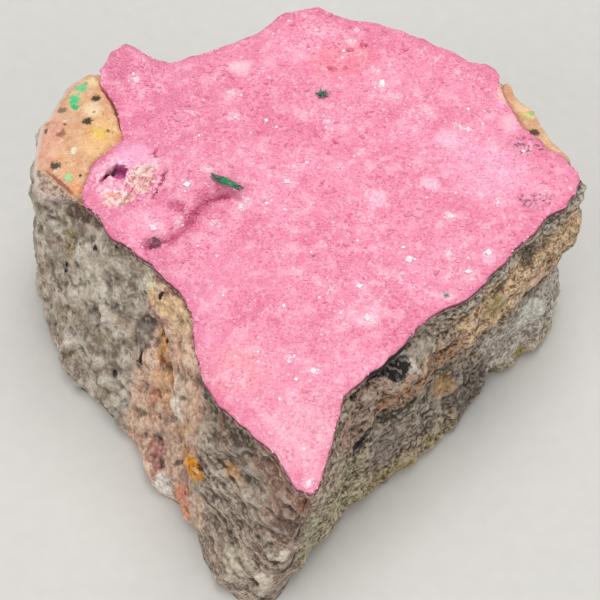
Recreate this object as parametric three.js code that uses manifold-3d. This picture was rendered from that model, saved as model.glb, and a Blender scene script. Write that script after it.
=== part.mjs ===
// Cobaltoan calcite on matrix. A thin pink rind of calcite crystals, grown together into one
// crust, covers the upper side of a broken block of host rock. The rock shows bare in a smooth
// lump at the left and in a narrow band at the right, and it is cut flat underneath. A spray and
// two tufts of malachite needles grow on the rind.
//
// Millimetres. X runs to the right, Y towards the back, and Z up from the flat base at Z = 0.
// The outlines are measured from a point near the middle, and the whole is then centred.
import * as THREE from 'three';
import { mergeVertices } from 'three/addons/utils/BufferGeometryUtils.js';
import Module from 'manifold-3d';

const levelHeight = 36.1; // the rind's general level, over the middle of the base
const levelSlope = 0.06; // rise of that level for each millimetre towards the back
const rindThickness = 2.0; // from the seat on the rock up to the rind's level
const rindEdgeThickness = 1.6; // along the broken edges
const seatGap = 0.3; // clearance between pieces that rest on each other
const seatOverrun = 2.5; // how far the cut of the rind's seat runs out past the rock's rim
const fieldSpacing = 2.2; // size of the rind's flat crystal faces
const faceRoughness = 0.5; // how far those faces stand up or lie back
const rhombCount = 56; // larger crystals standing out of the rind
const rhombSize = [1.5, 2.9]; // edge of the smallest and the largest of them
const sprayLength = 7.0;
const sprayThickness = 1.15;
const tuftLength = 1.9;
const smallTuftLength = 1.1;
const bareDrop = 0.7; // how far the bare rock on top lies under the rind's level
const rockRoughness = 1.2; // how far the broken faces of the rock's wall stand in or out
const undercutDepth = 3.2; // hollow in the rock under the rind's right front edge
const footRounding = 1.1; // how far the worn lower edge lies inside the wall
const centring = [0.8, -3.56, 0]; // moves the middle of the base to the origin

// The block's outline, counter-clockwise seen from above. Each entry is one upright line of the
// wall: X and Y at the rim, then X and Y at the foot.
const bandWall = [
  [45.1, 18.1, 48.3, 20.3], [43.3, 21.3, 46.4, 24.2], [41.2, 25.1, 43.9, 28.2],
  [39.4, 29.1, 41.3, 31.8], [37.6, 31.7, 39.1, 34.6], [36.1, 34.5, 37.2, 37.1],
];
const backWall = [
  [34.7, 35.7, 35.8, 38.4], [32.3, 38.1, 33.4, 40.5], [29.9, 38.6, 30.9, 41.5],
  [26.6, 41.3, 27.3, 43.8], [22.3, 43.3, 22.7, 45.5], [18.0, 45.9, 18.3, 47.5],
  [13.5, 47.9, 13.9, 49.3], [9.0, 48.6, 9.3, 50.5], [6.5, 49.7, 6.3, 51.5],
  [3.3, 51.8, 3.2, 53.7], [-1.0, 50.8, -1.3, 53.2], [-3.9, 49.2, -4.6, 51.1],
  [-6.5, 46.1, -7.8, 48.8], [-9.1, 44.2, -10.6, 46.7], [-12.9, 42.6, -14.1, 44.7],
  [-16.9, 40.7, -17.9, 42.9], [-20.2, 39.1, -21.5, 41.9], [-23.1, 38.4, -24.4, 41.6],
  [-26.1, 39.7, -27.5, 42.2], [-28.5, 41.6, -30.1, 42.9], [-30.9, 42.9, -33.1, 43.2],
  [-32.9, 41.2, -35.6, 41.8], [-34.8, 37.3, -38.4, 39.0],
];
const lumpWall = [
  [-37.5, 37.6, -41.0, 37.5], [-39.9, 35.6, -43.0, 35.1], [-41.5, 32.8, -45.1, 32.2],
  [-43.0, 29.3, -47.1, 29.0], [-44.5, 25.9, -48.8, 25.7], [-45.0, 21.0, -49.8, 21.5],
  [-44.9, 16.6, -50.1, 17.3], [-44.1, 12.6, -48.4, 11.5], [-41.1, 10.7, -46.1, 6.1],
  [-38.0, 9.6, -44.8, 2.2],
];
const leftWall = [
  [-35.1, 7.8, -43.4, -2.6], [-32.5, 5.4, -40.2, -6.2], [-30.6, 2.1, -37.4, -8.1],
  [-26.7, -1.2, -34.6, -11.5], [-23.4, -3.5, -31.2, -15.1], [-20.5, -6.8, -28.9, -18.4],
  [-18.2, -9.2, -26.6, -22.6], [-16.9, -13.2, -24.5, -25.8], [-16.2, -16.8, -22.3, -27.8],
  [-15.6, -19.4, -19.9, -30.3], [-14.9, -22.5, -18.8, -32.0],
];
const tongueWall = [
  [-13.7, -25.7, -17.9, -35.4], [-12.0, -28.3, -17.0, -38.8], [-9.6, -30.3, -15.5, -41.2],
  [-7.3, -32.7, -13.3, -43.7], [-5.1, -34.7, -11.0, -45.9], [-3.3, -37.2, -8.3, -47.1],
  [-2.0, -39.2, -5.6, -46.5], [-0.4, -42.0, -3.6, -44.6],
];
const rightWall = [
  [1.7, -42.6, -1.5, -41.8], [2.7, -41.7, 0.2, -39.3], [3.6, -38.4, 2.5, -36.7],
  [4.5, -34.8, 5.2, -33.5], [5.4, -31.4, 7.8, -29.9], [6.4, -27.0, 10.5, -28.3],
];
const undercutWall = [
  [8.4, -24.8, 14.9, -24.8], [10.6, -23.0, 17.9, -22.3], [13.3, -20.4, 20.6, -20.1],
  [16.4, -17.3, 23.7, -17.7], [19.2, -14.1, 27.4, -13.7],
];
const ledgeWall = [
  [22.7, -11.6, 29.6, -10.7], [25.8, -10.0, 32.1, -7.8], [29.1, -6.6, 34.7, -4.8],
  [33.3, -2.1, 37.5, -2.4], [36.8, 1.7, 40.3, 0.7], [40.5, 6.2, 43.6, 2.4],
  [43.1, 7.8, 46.2, 7.0], [45.3, 10.6, 46.9, 11.6], [46.1, 14.3, 48.2, 16.7],
];
const wall = [
  ...bandWall, ...backWall, ...lumpWall, ...leftWall,
  ...tongueWall, ...rightWall, ...undercutWall, ...ledgeWall,
];

// Where the rind ends against the bare rock: on the left lump and on the right band.
const lumpEdge = [
  [-34.9, 35.3], [-33.8, 32.3], [-32.5, 30.5], [-30.9, 26.1], [-30.1, 23.5], [-30.1, 21.2],
  [-32.5, 18.6], [-34.6, 15.5], [-35.4, 11.8], [-36.0, 10.4],
];
const bandEdge = [
  [44.1, 17.2], [41.0, 19.7], [38.8, 22.9], [37.3, 24.8], [35.2, 30.8], [34.7, 33.2],
];

const lumpCentre = [-36, 23]; // the bare lump's crown

// Rounded swellings of the rind: X, Y, radius and height.
const rindSwells = [
  [-30.1, 39.0, 4.0, 1.5], [-27.8, 34.6, 3.0, 0.7], [-32.0, 31.4, 2.6, 0.6],
  [-21.5, 15.7, 3.0, 1.0], [-18.4, 12.4, 2.6, 1.1], [-15.2, 16.9, 2.4, 0.7],
  [-20.8, 8.4, 2.6, 1.0], [-24.6, 5.0, 2.8, 0.9], [-29.0, 4.2, 2.6, 0.6],
  [-25.9, 17.0, 2.4, 0.7], [-14.8, 12.6, 1.8, 0.8], [3.2, 46.5, 4.5, 0.9],
  [20.0, 38.0, 6.0, 0.6], [-2.0, -37.0, 3.5, 0.4], [25.0, 8.0, 9.0, 0.5],
  [38.0, 8.0, 4.0, -0.5], [7.0, 39.5, 4.5, -0.6], [-26.5, 11.8, 3.2, -0.8],
  [-12.0, -2.0, 8.0, -0.4], [12.0, -12.0, 7.0, 0.4],
];

// Lumps (+) and pits (-) of the rock's wall: station along the wall, height from 0 to 1, half
// their run in stations, half their height, and how far they stand out.
const wallLumps = [
  [46.2, 0.06, 0.7, 0.08, 1.4], [48.8, 0.4, 0.5, 0.06, -0.7], [46.3, 0.56, 0.7, 0.17, 0.6],
  [46.8, 0.83, 1.1, 0.12, 0.8], [44.2, 0.88, 1.3, 0.12, 0.7], [40.9, 0.95, 0.6, 0.06, -1.3],
  [38.6, 0.95, 1.4, 0.05, -0.9], [57.2, 0.4, 0.7, 0.09, 1.0], [56.0, 0.17, 0.8, 0.11, 1.2],
  [53.5, 0.17, 0.8, 0.1, 1.0], [71.2, 0.03, 0.45, 0.1, -3.2], [76.3, 0.79, 1.1, 0.13, 0.7],
  [64.0, 0.54, 1.3, 0.06, -1.0], [66.2, 0.8, 1.2, 0.08, 1.3], [50.4, 0.87, 1.3, 0.07, -0.9],
  [53.4, 0.93, 1.6, 0.05, -0.9], [12.5, 0.55, 2.0, 0.18, 0.9], [19.0, 0.3, 2.2, 0.15, 1.0],
  [25.0, 0.7, 1.5, 0.12, -0.9], [33.5, 0.45, 1.8, 0.2, 0.8], [3.0, 0.35, 1.6, 0.15, -0.8],
  [8.0, 0.75, 1.5, 0.1, -0.7],
];

// The groove that runs in from the left front, then the open pit beside the bare lump.
const groove = [
  [-12.6, 10.0], [-15.6, 8.8], [-16.9, 6.3], [-18.2, 3.9], [-21.0, 1.0], [-24.2, 0.2],
];
const grooveWidth = 1.7;
const grooveDepth = 1.5;
const pitCentre = [-30.9, 13.9];
const pitHalfSize = [1.5, 0.9, 1.4];
const slitEnd = [-33.2, 12.3];

const sprayRoot = [-15.0, 13.9];
const sprayTip = [-8.8, 10.4];
const tuftPlace = [4.1, 31.0];
const smallTuftPlace = [22.8, -9.6];

const wasm = await Module();
wasm.setup();

// One repeatable stream of random numbers between 0 and 1.
function randomStream(seed) {
  let state = seed;
  return () => {
    state = (state * 1664525 + 1013904223) % 4294967296;
    return state / 4294967296;
  };
}

function solidFrom(geometry) {
  const bare = geometry.clone();
  bare.deleteAttribute('normal');
  bare.deleteAttribute('uv');
  const merged = mergeVertices(bare, 1e-4);
  return new wasm.Manifold(new wasm.Mesh({
    numProp: 3,
    vertProperties: new Float32Array(merged.attributes.position.array),
    triVerts: new Uint32Array(merged.index.array),
  }));
}

function geometryFrom(solid) {
  const mesh = solid.getMesh();
  const geometry = new THREE.BufferGeometry();
  geometry.setAttribute('position', new THREE.BufferAttribute(mesh.vertProperties, 3));
  geometry.setIndex(new THREE.BufferAttribute(mesh.triVerts, 1));
  return geometry;
}

function geometryOf(vertices, triangles) {
  const geometry = new THREE.BufferGeometry();
  geometry.setAttribute('position', new THREE.Float32BufferAttribute(vertices, 3));
  geometry.setIndex(triangles);
  return geometry;
}

const levelAt = (x, y) => levelHeight + levelSlope * y;
const smooth = (from, to, value) => {
  const share = THREE.MathUtils.clamp((value - from) / (to - from), 0, 1);
  return share * share * (3 - 2 * share);
};
const bell = (distance, width) => Math.exp(-((distance / width) ** 2));

// Distance from a point to a line of straight pieces.
function distanceToLine(x, y, points, closed = false) {
  let nearest = Infinity;
  const count = closed ? points.length : points.length - 1;
  for (let i = 0; i < count; i += 1) {
    const [ax, ay] = points[i];
    const [bx, by] = points[(i + 1) % points.length];
    const along = ((x - ax) * (bx - ax) + (y - ay) * (by - ay)) / ((bx - ax) ** 2 + (by - ay) ** 2);
    const share = THREE.MathUtils.clamp(along, 0, 1);
    nearest = Math.min(nearest, Math.hypot(x - ax - share * (bx - ax), y - ay - share * (by - ay)));
  }
  return nearest;
}

// A closed outline with each point moved outwards, along the middle of its two edges' normals.
function movedOut(outline, distanceAt) {
  return outline.map((point, i) => {
    const before = outline[(i + outline.length - 1) % outline.length];
    const after = outline[(i + 1) % outline.length];
    const run = new THREE.Vector2(after[0] - before[0], after[1] - before[1]).normalize();
    const distance = distanceAt(point);
    return [point[0] + run.y * distance, point[1] - run.x * distance];
  });
}

// Broad lumps of the broken rock, in millimetres outwards.
function rockLumps(x, y, z) {
  return 0.55 * Math.sin(0.43 * x + 0.31 * z + 1.3) * Math.sin(0.37 * y - 0.29 * z + 0.4)
    + 0.35 * Math.sin(0.83 * x - 0.71 * z + 2.1) * Math.sin(0.77 * y + 0.59 * z + 1.7);
}

const rimOf = (group) => group.map(([x, y]) => [x, y]);
const firstOf = (group) => wall.indexOf(group[0]);
const undercutMiddle = firstOf(undercutWall) + (undercutWall.length - 1) / 2;
const undercutHalfRun = undercutWall.length / 2 + 0.4;
const ridgeLine = firstOf(tongueWall) - 1;
const ledgeStart = firstOf(ledgeWall);

// How far the wall stands out at one place: station counts along the wall, height runs 0 to 1.
function wallRelief(station, height) {
  const undercut = smooth(undercutHalfRun, undercutHalfRun - 1.6, Math.abs(station - undercutMiddle))
    * smooth(0.84, 0.93, height);
  const ridge = bell(station - ridgeLine, 1.2) * Math.sin(Math.PI * height);
  const scoop = bell(station - ridgeLine - 3.5, 2.2) * Math.sin(Math.PI * height);
  const ledge = smooth(ledgeStart - 4, ledgeStart + 3, station)
    * (bell(height - 0.72, 0.16) - 0.8 * bell(height - 0.3, 0.18));
  const foot = bell(height, 0.05);
  const lumps = wallLumps.reduce(
    (sum, [along, up, run, rise, out]) => sum + out * bell(station - along, run) * bell(height - up, rise),
    0,
  );
  return lumps - undercutDepth * undercut + 0.9 * ridge - 1.3 * scoop + 0.9 * ledge - footRounding * foot;
}

// The rock's upper side before the rind's seat is cut: level, and worn round at the bare lump.
function rockTop(x, y) {
  const lumpFall = 1.7 * Math.exp(-distanceToLine(x, y, rimOf(lumpWall)) / 1.9);
  const bandFall = 0.3 * Math.exp(-distanceToLine(x, y, rimOf(bandWall)) / 1.5);
  const crown = 0.5 * bell(Math.hypot(x - lumpCentre[0], y - lumpCentre[1]), 6);
  return levelAt(x, y) - bareDrop + crown - lumpFall - bandFall;
}

// Matrix rock: rings of the wall from the foot to the rim, a crowned top and a flat base. The
// corners of the outline are eased halfway up, where the wall has weathered.
function rockSolid() {
  const random = randomStream(5);
  const heights = [0, 0.05, 0.16, 0.3, 0.44, 0.58, 0.72, 0.84, 0.92, 1];
  const capScales = [0.955, 0.9, 0.8, 0.55, 0.25];
  const stepsPerStation = 2;
  const columns = wall.length * stepsPerStation;
  const vertices = [];
  const triangles = [];
  const lineAt = (station) => {
    const lower = Math.floor(station + wall.length) % wall.length;
    const share = station - Math.floor(station);
    return wall[lower].map((v, k) => v + share * (wall[(lower + 1) % wall.length][k] - v));
  };
  const outwardAt = (station) => {
    const before = lineAt(station - 1.5);
    const after = lineAt(station + 1.5);
    return new THREE.Vector2(after[1] - before[1], before[0] - after[0]).normalize();
  };
  for (const height of heights) {
    const calm = 0.8 * Math.sin(Math.PI * height);
    for (let i = 0; i < columns; i += 1) {
      const station = i / stepsPerStation;
      const line = lineAt(station);
      const [before, after] = [lineAt(station - 1), lineAt(station + 1)];
      const eased = line.map((v, k) => v + calm * ((before[k] + v + after[k]) / 3 - v));
      const [rimX, rimY, footX, footY] = eased;
      const x = footX + (rimX - footX) * height;
      const y = footY + (rimY - footY) * height;
      const z = rockTop(line[0], line[1]) * height;
      const lumps = rockLumps(x, y, z) * smooth(0, 0.08, height) * smooth(1, 0.9, height);
      const broken = height > 0 && height < 1 ? rockRoughness * (random() - 0.5) : 0;
      const relief = wallRelief(station, height) + lumps + broken;
      const out = outwardAt(station);
      vertices.push(x + out.x * relief, y + out.y * relief, z);
    }
  }
  for (const scale of capScales) {
    for (let i = 0; i < columns; i += 1) {
      const line = lineAt(i / stepsPerStation);
      const x = line[0] * scale;
      const y = line[1] * scale;
      vertices.push(x, y, rockTop(x, y));
    }
  }
  const rings = heights.length + capScales.length;
  for (let ring = 0; ring + 1 < rings; ring += 1) {
    for (let i = 0; i < columns; i += 1) {
      const a = ring * columns + i;
      const b = ring * columns + ((i + 1) % columns);
      triangles.push(a, b, b + columns, a, b + columns, a + columns);
    }
  }
  const baseCentre = vertices.length / 3;
  vertices.push(0, 0, 0, 0, 0, rockTop(0, 0));
  const lastRing = (rings - 1) * columns;
  for (let i = 0; i < columns; i += 1) {
    const next = (i + 1) % columns;
    triangles.push(baseCentre, next, i, baseCentre + 1, lastRing + i, lastRing + next);
  }
  return solidFrom(geometryOf(vertices, triangles));
}

const rindOutline = [
  ...rimOf(backWall), ...lumpEdge, ...rimOf(leftWall), ...rimOf(tongueWall), ...rimOf(rightWall),
  ...rimOf(undercutWall), ...rimOf(ledgeWall), ...bandEdge,
];

// An upright prism on an outline, from the tilted plane at one depth under the level upwards.
function outlinePrism(outline, depth) {
  const shape = new THREE.Shape(outline.map(([x, y]) => new THREE.Vector2(x, y)));
  const prism = new THREE.ExtrudeGeometry(shape, { depth: 1, bevelEnabled: false });
  const place = prism.attributes.position;
  for (let i = 0; i < place.count; i += 1) {
    const level = levelAt(place.getX(i), place.getY(i));
    place.setZ(i, place.getZ(i) < 0.5 ? level - depth : level + 15);
  }
  return solidFrom(prism);
}

// Height of the rind's surface over the sloping level.
function rindRelief(x, y) {
  const edge = distanceToLine(x, y, rindOutline, true);
  const swells = rindSwells.reduce(
    (sum, [sx, sy, radius, rise]) => sum + rise * bell(Math.hypot(x - sx, y - sy), radius),
    0,
  );
  const hollow = grooveDepth * bell(distanceToLine(x, y, groove), grooveWidth);
  const waves = 0.22 * Math.sin(0.31 * x + 0.6) * Math.sin(0.27 * y + 1.1)
    + 0.15 * Math.sin(0.62 * x - 0.35 * y);
  const taper = (rindThickness - rindEdgeThickness) * Math.exp(-edge / 0.8);
  return (swells + waves) * smooth(0, 2.5, edge) - hollow * smooth(0, 2, edge) - taper;
}

const surfaceAt = (x, y) => levelAt(x, y) + rindRelief(x, y);

// Whether a place lies within the rind's outline.
function insideOutline(x, y) {
  return rindOutline.reduce((inside, [ax, ay], i) => {
    const [bx, by] = rindOutline[(i + 1) % rindOutline.length];
    const crosses = (ay > y) !== (by > y) && x < ax + ((y - ay) * (bx - ax)) / (by - ay);
    return crosses ? !inside : inside;
  }, false);
}

// A long tapering prism from its thick end to its point.
function spike(from, to, radius, sides) {
  const run = to.clone().sub(from);
  const cone = new THREE.CylinderGeometry(radius * 0.12, radius, run.length(), sides);
  const turn = new THREE.Quaternion().setFromUnitVectors(
    new THREE.Vector3(0, 1, 0),
    run.clone().normalize(),
  );
  cone.applyQuaternion(turn);
  cone.translate(...from.clone().add(to).multiplyScalar(0.5));
  return cone;
}

// One calcite crystal: three equal edges, each 101.9 degrees from the other two.
function rhombohedron(size, turn) {
  const lean = THREE.MathUtils.degToRad(63.7);
  const edges = [0, 1, 2].map((k) => new THREE.Vector3(
    Math.sin(lean) * Math.cos((k * 2 * Math.PI) / 3),
    Math.sin(lean) * Math.sin((k * 2 * Math.PI) / 3),
    Math.cos(lean),
  ));
  const crystal = new THREE.BoxGeometry(size, size, size);
  crystal.applyMatrix4(new THREE.Matrix4().makeBasis(...edges));
  crystal.applyMatrix4(new THREE.Matrix4().makeRotationFromEuler(turn));
  return crystal;
}

// Calcite rind: a field of small flat faces cut to the outline, with larger crystals joined on
// and the groove's pit and slit cut out.
function rindSolid() {
  const random = randomStream(41);
  const [low, high] = [[-50, -46], [50, 56]];
  const columns = Math.ceil((high[0] - low[0]) / fieldSpacing);
  const rows = Math.ceil((high[1] - low[1]) / fieldSpacing);
  const vertices = [];
  const triangles = [];
  for (let j = 0; j <= rows; j += 1) {
    for (let i = 0; i <= columns; i += 1) {
      const inside = i > 0 && j > 0 && i < columns && j < rows;
      const x = low[0] + (i + (inside ? 0.55 * (random() - 0.5) : 0)) * fieldSpacing;
      const y = low[1] + (j + (inside ? 0.55 * (random() - 0.5) : 0)) * fieldSpacing;
      const bumps = faceRoughness * (random() - 0.5);
      vertices.push(x, y, levelAt(x, y) + rindRelief(x, y) + bumps);
    }
  }
  const bottomStart = vertices.length / 3;
  for (let j = 0; j <= rows; j += 1) {
    for (let i = 0; i <= columns; i += 1) {
      vertices.push(low[0] + i * fieldSpacing, low[1] + j * fieldSpacing, levelHeight - 20);
    }
  }
  const at = (i, j) => j * (columns + 1) + i;
  for (let j = 0; j < rows; j += 1) {
    for (let i = 0; i < columns; i += 1) {
      const [a, b, c, d] = [at(i, j), at(i + 1, j), at(i + 1, j + 1), at(i, j + 1)];
      const turned = (i + j) % 2 === 0;
      const faces = turned ? [a, b, c, a, c, d] : [a, b, d, b, c, d];
      triangles.push(...faces);
      for (let k = 0; k < 6; k += 3) {
        triangles.push(faces[k] + bottomStart, faces[k + 2] + bottomStart, faces[k + 1] + bottomStart);
      }
    }
  }
  const skirt = (a, b) => triangles.push(b, a, a + bottomStart, b, a + bottomStart, b + bottomStart);
  for (let i = 0; i < columns; i += 1) {
    skirt(at(i, 0), at(i + 1, 0));
    skirt(at(i + 1, rows), at(i, rows));
  }
  for (let j = 0; j < rows; j += 1) {
    skirt(at(0, j + 1), at(0, j));
    skirt(at(columns, j), at(columns, j + 1));
  }
  const field = solidFrom(geometryOf(vertices, triangles));

  const crystals = [];
  while (crystals.length < rhombCount) {
    const x = -46 + 92 * random();
    const y = -44 + 96 * random();
    const size = rhombSize[0] + (rhombSize[1] - rhombSize[0]) * random() ** 2;
    const turn = new THREE.Euler(6.3 * random(), 6.3 * random(), 6.3 * random());
    const clear = distanceToLine(x, y, groove) > 2.2
      && distanceToLine(x, y, [sprayRoot, sprayTip]) > 3
      && Math.hypot(x - pitCentre[0], y - pitCentre[1]) > 4
      && Math.hypot(x - tuftPlace[0], y - tuftPlace[1]) > 3.5
      && Math.hypot(x - smallTuftPlace[0], y - smallTuftPlace[1]) > 3;
    if (clear && insideOutline(x, y) && distanceToLine(x, y, rindOutline, true) > size) {
      const crystal = rhombohedron(size, turn);
      crystal.translate(x, y, levelAt(x, y) + rindRelief(x, y) - 0.22 * size);
      crystals.push(solidFrom(crystal));
    }
  }
  const rind = crystals.reduce((whole, crystal) => whole.add(crystal), field)
    .intersect(outlinePrism(rindOutline, rindThickness - seatGap));

  const pitPlace = new THREE.Vector3(...pitCentre, surfaceAt(...pitCentre));
  const pit = new THREE.IcosahedronGeometry(1);
  pit.scale(...pitHalfSize);
  pit.translate(...pitPlace);
  const slitPlace = new THREE.Vector3(...slitEnd, surfaceAt(...slitEnd));
  const slit = spike(pitPlace, slitPlace, 0.55, 5);
  return rind.subtract(solidFrom(pit)).subtract(solidFrom(slit));
}

// Malachite spray: needles that lie side by side and spread a little from one end.
function spraySolid() {
  const random = randomStream(7);
  const from = new THREE.Vector3(...sprayRoot, surfaceAt(...sprayRoot) + 0.55);
  const flat = new THREE.Vector3(...sprayTip, 0).sub(new THREE.Vector3(...sprayRoot, 0)).normalize();
  const side = new THREE.Vector3(-flat.y, flat.x, 0);
  const needles = [];
  const count = 11;
  for (let k = 0; k < count; k += 1) {
    const across = (k / (count - 1) - 0.5) * 2;
    const start = from.clone()
      .addScaledVector(side, across * sprayThickness * 0.45)
      .addScaledVector(flat, 0.9 * random());
    start.z += 0.35 * (1 - across * across) * random();
    const length = sprayLength * (0.62 + 0.38 * random()) * (1 - 0.12 * Math.abs(across));
    const end = start.clone()
      .addScaledVector(flat, length)
      .addScaledVector(side, -across * 0.35 + 0.5 * (random() - 0.5));
    end.z += 0.5 * random() - 0.1;
    needles.push(solidFrom(spike(start, end, 0.28 + 0.14 * random(), 4)));
  }
  const core = solidFrom(spike(from, from.clone().addScaledVector(flat, sprayLength * 0.8), 0.5, 6));
  return needles.reduce((whole, one) => whole.add(one), core);
}

// Malachite tuft: needles that stand up and out from one root.
function tuftSolid(place, length, count, seed) {
  const random = randomStream(seed);
  const root = new THREE.Vector3(...place, surfaceAt(...place) + 0.1 * length);
  const knot = new THREE.IcosahedronGeometry(0.3 * length);
  knot.translate(...root);
  let tuft = solidFrom(knot);
  for (let k = 0; k < count; k += 1) {
    const around = (k * 2.4) + 0.5 * random();
    const rise = 0.3 + 1.1 * random();
    const reach = length * (0.7 + 0.3 * random());
    const end = root.clone().add(new THREE.Vector3(
      reach * Math.cos(around) * Math.cos(rise),
      reach * Math.sin(around) * Math.cos(rise),
      reach * Math.sin(rise),
    ));
    tuft = tuft.add(solidFrom(spike(root, end, 0.14 * length, 4)));
  }
  return tuft;
}

// The hollow that a malachite piece grows in: its own form with the clearance round it.
function socketFor(centre, halfSize, turn = 0) {
  const hollow = new THREE.IcosahedronGeometry(1, 1);
  hollow.scale(...halfSize.map((half) => half * 1.06 + seatGap));
  hollow.rotateZ(turn);
  hollow.translate(...centre, surfaceAt(...centre) + 0.4);
  return solidFrom(hollow);
}

const rockMaterial = new THREE.MeshStandardMaterial({ color: 0x97897a, roughness: 0.95, metalness: 0 });
const rindMaterial = new THREE.MeshStandardMaterial({ color: 0xf7a4bd, roughness: 0.5, metalness: 0 });
const greenMaterial = new THREE.MeshStandardMaterial({ color: 0x1f5f4a, roughness: 0.45, metalness: 0 });

const tuft = tuftSolid(tuftPlace, tuftLength, 10, 3);
const smallTuft = tuftSolid(smallTuftPlace, smallTuftLength, 7, 11);
const spray = spraySolid();

const sprayMiddle = [
  (sprayRoot[0] + sprayTip[0]) / 2,
  (sprayRoot[1] + sprayTip[1]) / 2,
];
const sprayTurn = Math.atan2(sprayTip[1] - sprayRoot[1], sprayTip[0] - sprayRoot[0]);
const rind = rindSolid()
  .subtract(socketFor(sprayMiddle, [sprayLength * 0.58, sprayThickness * 0.9, 0.8], sprayTurn))
  .subtract(socketFor(tuftPlace, [tuftLength, tuftLength, tuftLength * 0.45]))
  .subtract(socketFor(smallTuftPlace, [smallTuftLength, smallTuftLength, smallTuftLength * 0.6]));
const bareEdges = [...lumpEdge, ...bandEdge];
const seatOutline = movedOut(rindOutline, (point) => (bareEdges.includes(point) ? seatGap : seatOverrun));
const rock = rockSolid().subtract(outlinePrism(seatOutline, rindThickness));

const specimen = new THREE.Group();
specimen.position.set(...centring);
const pieces = [
  ['matrix_rock', rock, rockMaterial],
  ['calcite_rind', rind, rindMaterial],
  ['malachite_spray', spray, greenMaterial],
  ['malachite_tuft', tuft, greenMaterial],
  ['malachite_small_tuft', smallTuft, greenMaterial],
];
for (const [name, solid, material] of pieces) {
  const mesh = new THREE.Mesh(geometryFrom(solid), material);
  mesh.name = name;
  specimen.add(mesh);
}

export default specimen;
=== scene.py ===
"""Cobaltoan calcite on matrix: a thin pink crystal crust on a broken block of host rock, with
needles of malachite on it. The block is worked out in millimetres and goes into metres last.
The wall's eight lists, and first values of some others, were made by other programs, which is
a fault."""
import math

import bpy
import numpy as np
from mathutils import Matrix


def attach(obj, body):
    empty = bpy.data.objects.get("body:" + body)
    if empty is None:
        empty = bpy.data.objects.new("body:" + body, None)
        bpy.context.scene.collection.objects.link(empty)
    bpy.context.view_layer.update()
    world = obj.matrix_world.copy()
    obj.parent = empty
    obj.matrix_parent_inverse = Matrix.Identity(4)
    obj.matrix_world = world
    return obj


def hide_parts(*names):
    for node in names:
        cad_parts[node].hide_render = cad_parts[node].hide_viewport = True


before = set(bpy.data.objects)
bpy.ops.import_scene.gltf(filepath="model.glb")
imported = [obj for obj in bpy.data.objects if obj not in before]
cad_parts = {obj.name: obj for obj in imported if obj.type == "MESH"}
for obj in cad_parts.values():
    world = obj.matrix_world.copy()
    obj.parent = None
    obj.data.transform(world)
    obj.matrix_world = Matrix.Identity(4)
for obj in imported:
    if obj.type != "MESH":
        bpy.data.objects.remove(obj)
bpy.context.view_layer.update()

# ---------------------------------------------------------------------------------------------
# Host rock. A block of pale quartz rock in layers, broken off a vein with a hammer and taken to be
# flat underneath. Its wall is rough and granular. On top it lies bare in a smooth iron-stained
# lump at the left and in a narrow band at the right.

# The wall's upright lines, anticlockwise from above: X and Y at the rim, X and Y at the foot.
band_wall = [
    (45.1, 18.1, 48.3, 20.3), (43.3, 21.3, 46.4, 24.2), (41.2, 25.1, 43.9, 28.2),
    (39.4, 29.1, 41.3, 31.8), (37.6, 31.7, 39.1, 34.6), (36.1, 34.5, 37.2, 37.1),
]
back_wall = [
    (34.7, 35.7, 35.8, 38.4), (32.3, 38.1, 33.4, 40.5), (29.9, 38.6, 30.9, 41.5),
    (26.6, 41.3, 27.3, 43.8), (22.3, 43.3, 22.7, 45.5), (18.0, 45.9, 18.3, 47.5),
    (13.5, 47.9, 13.9, 49.3), (9.0, 48.6, 9.3, 50.5), (6.5, 49.7, 6.3, 51.5),
    (3.3, 51.8, 3.2, 53.7), (-1.0, 50.8, -1.3, 53.2), (-3.9, 49.2, -4.6, 51.1),
    (-6.5, 46.1, -7.8, 48.8), (-9.1, 44.2, -10.6, 46.7), (-12.9, 42.6, -14.1, 44.7),
    (-16.9, 40.7, -17.9, 42.9), (-20.2, 39.1, -21.5, 41.9), (-23.1, 38.4, -24.4, 41.6),
    (-26.1, 39.7, -27.5, 42.2), (-28.5, 41.6, -30.1, 42.9), (-30.9, 42.9, -33.1, 43.2),
    (-32.9, 41.2, -35.6, 41.8), (-34.8, 37.3, -38.4, 39.0),
]
lump_wall = [
    (-37.5, 37.6, -41.0, 37.5), (-39.9, 35.6, -43.0, 35.1), (-41.5, 32.8, -45.1, 32.2),
    (-43.0, 29.3, -47.1, 29.0), (-44.5, 25.9, -48.8, 25.7), (-45.0, 21.0, -49.8, 21.5),
    (-44.9, 16.6, -50.1, 17.3), (-44.1, 12.6, -48.4, 11.5), (-41.1, 10.7, -46.1, 6.1),
    (-38.0, 9.6, -44.8, 2.2),
]
left_wall = [
    (-35.1, 7.8, -43.4, -2.6), (-32.5, 5.4, -40.2, -6.2), (-30.6, 2.1, -37.4, -8.1),
    (-26.7, -1.2, -34.6, -11.5), (-23.4, -3.5, -31.2, -15.1), (-20.5, -6.8, -28.9, -18.4),
    (-18.2, -9.2, -26.6, -22.6), (-16.9, -13.2, -24.5, -25.8), (-16.2, -16.8, -22.3, -27.8),
    (-15.6, -19.4, -19.9, -30.3), (-14.9, -22.5, -18.8, -32.0),
]
tongue_wall = [
    (-13.7, -25.7, -17.9, -35.4), (-12.0, -28.3, -17.0, -38.8), (-9.6, -30.3, -15.5, -41.2),
    (-7.3, -32.7, -13.3, -43.7), (-5.1, -34.7, -11.0, -45.9), (-3.3, -37.2, -8.3, -47.1),
    (-2.0, -39.2, -5.6, -46.5), (-0.4, -42.0, -3.6, -44.6),
]
right_wall = [
    (1.7, -42.6, -1.5, -41.8), (2.7, -41.7, 0.2, -39.3), (3.6, -38.4, 2.5, -36.7),
    (4.5, -34.8, 5.2, -33.5), (5.4, -31.4, 7.8, -29.9), (6.4, -27.0, 10.5, -28.3),
]
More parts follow.
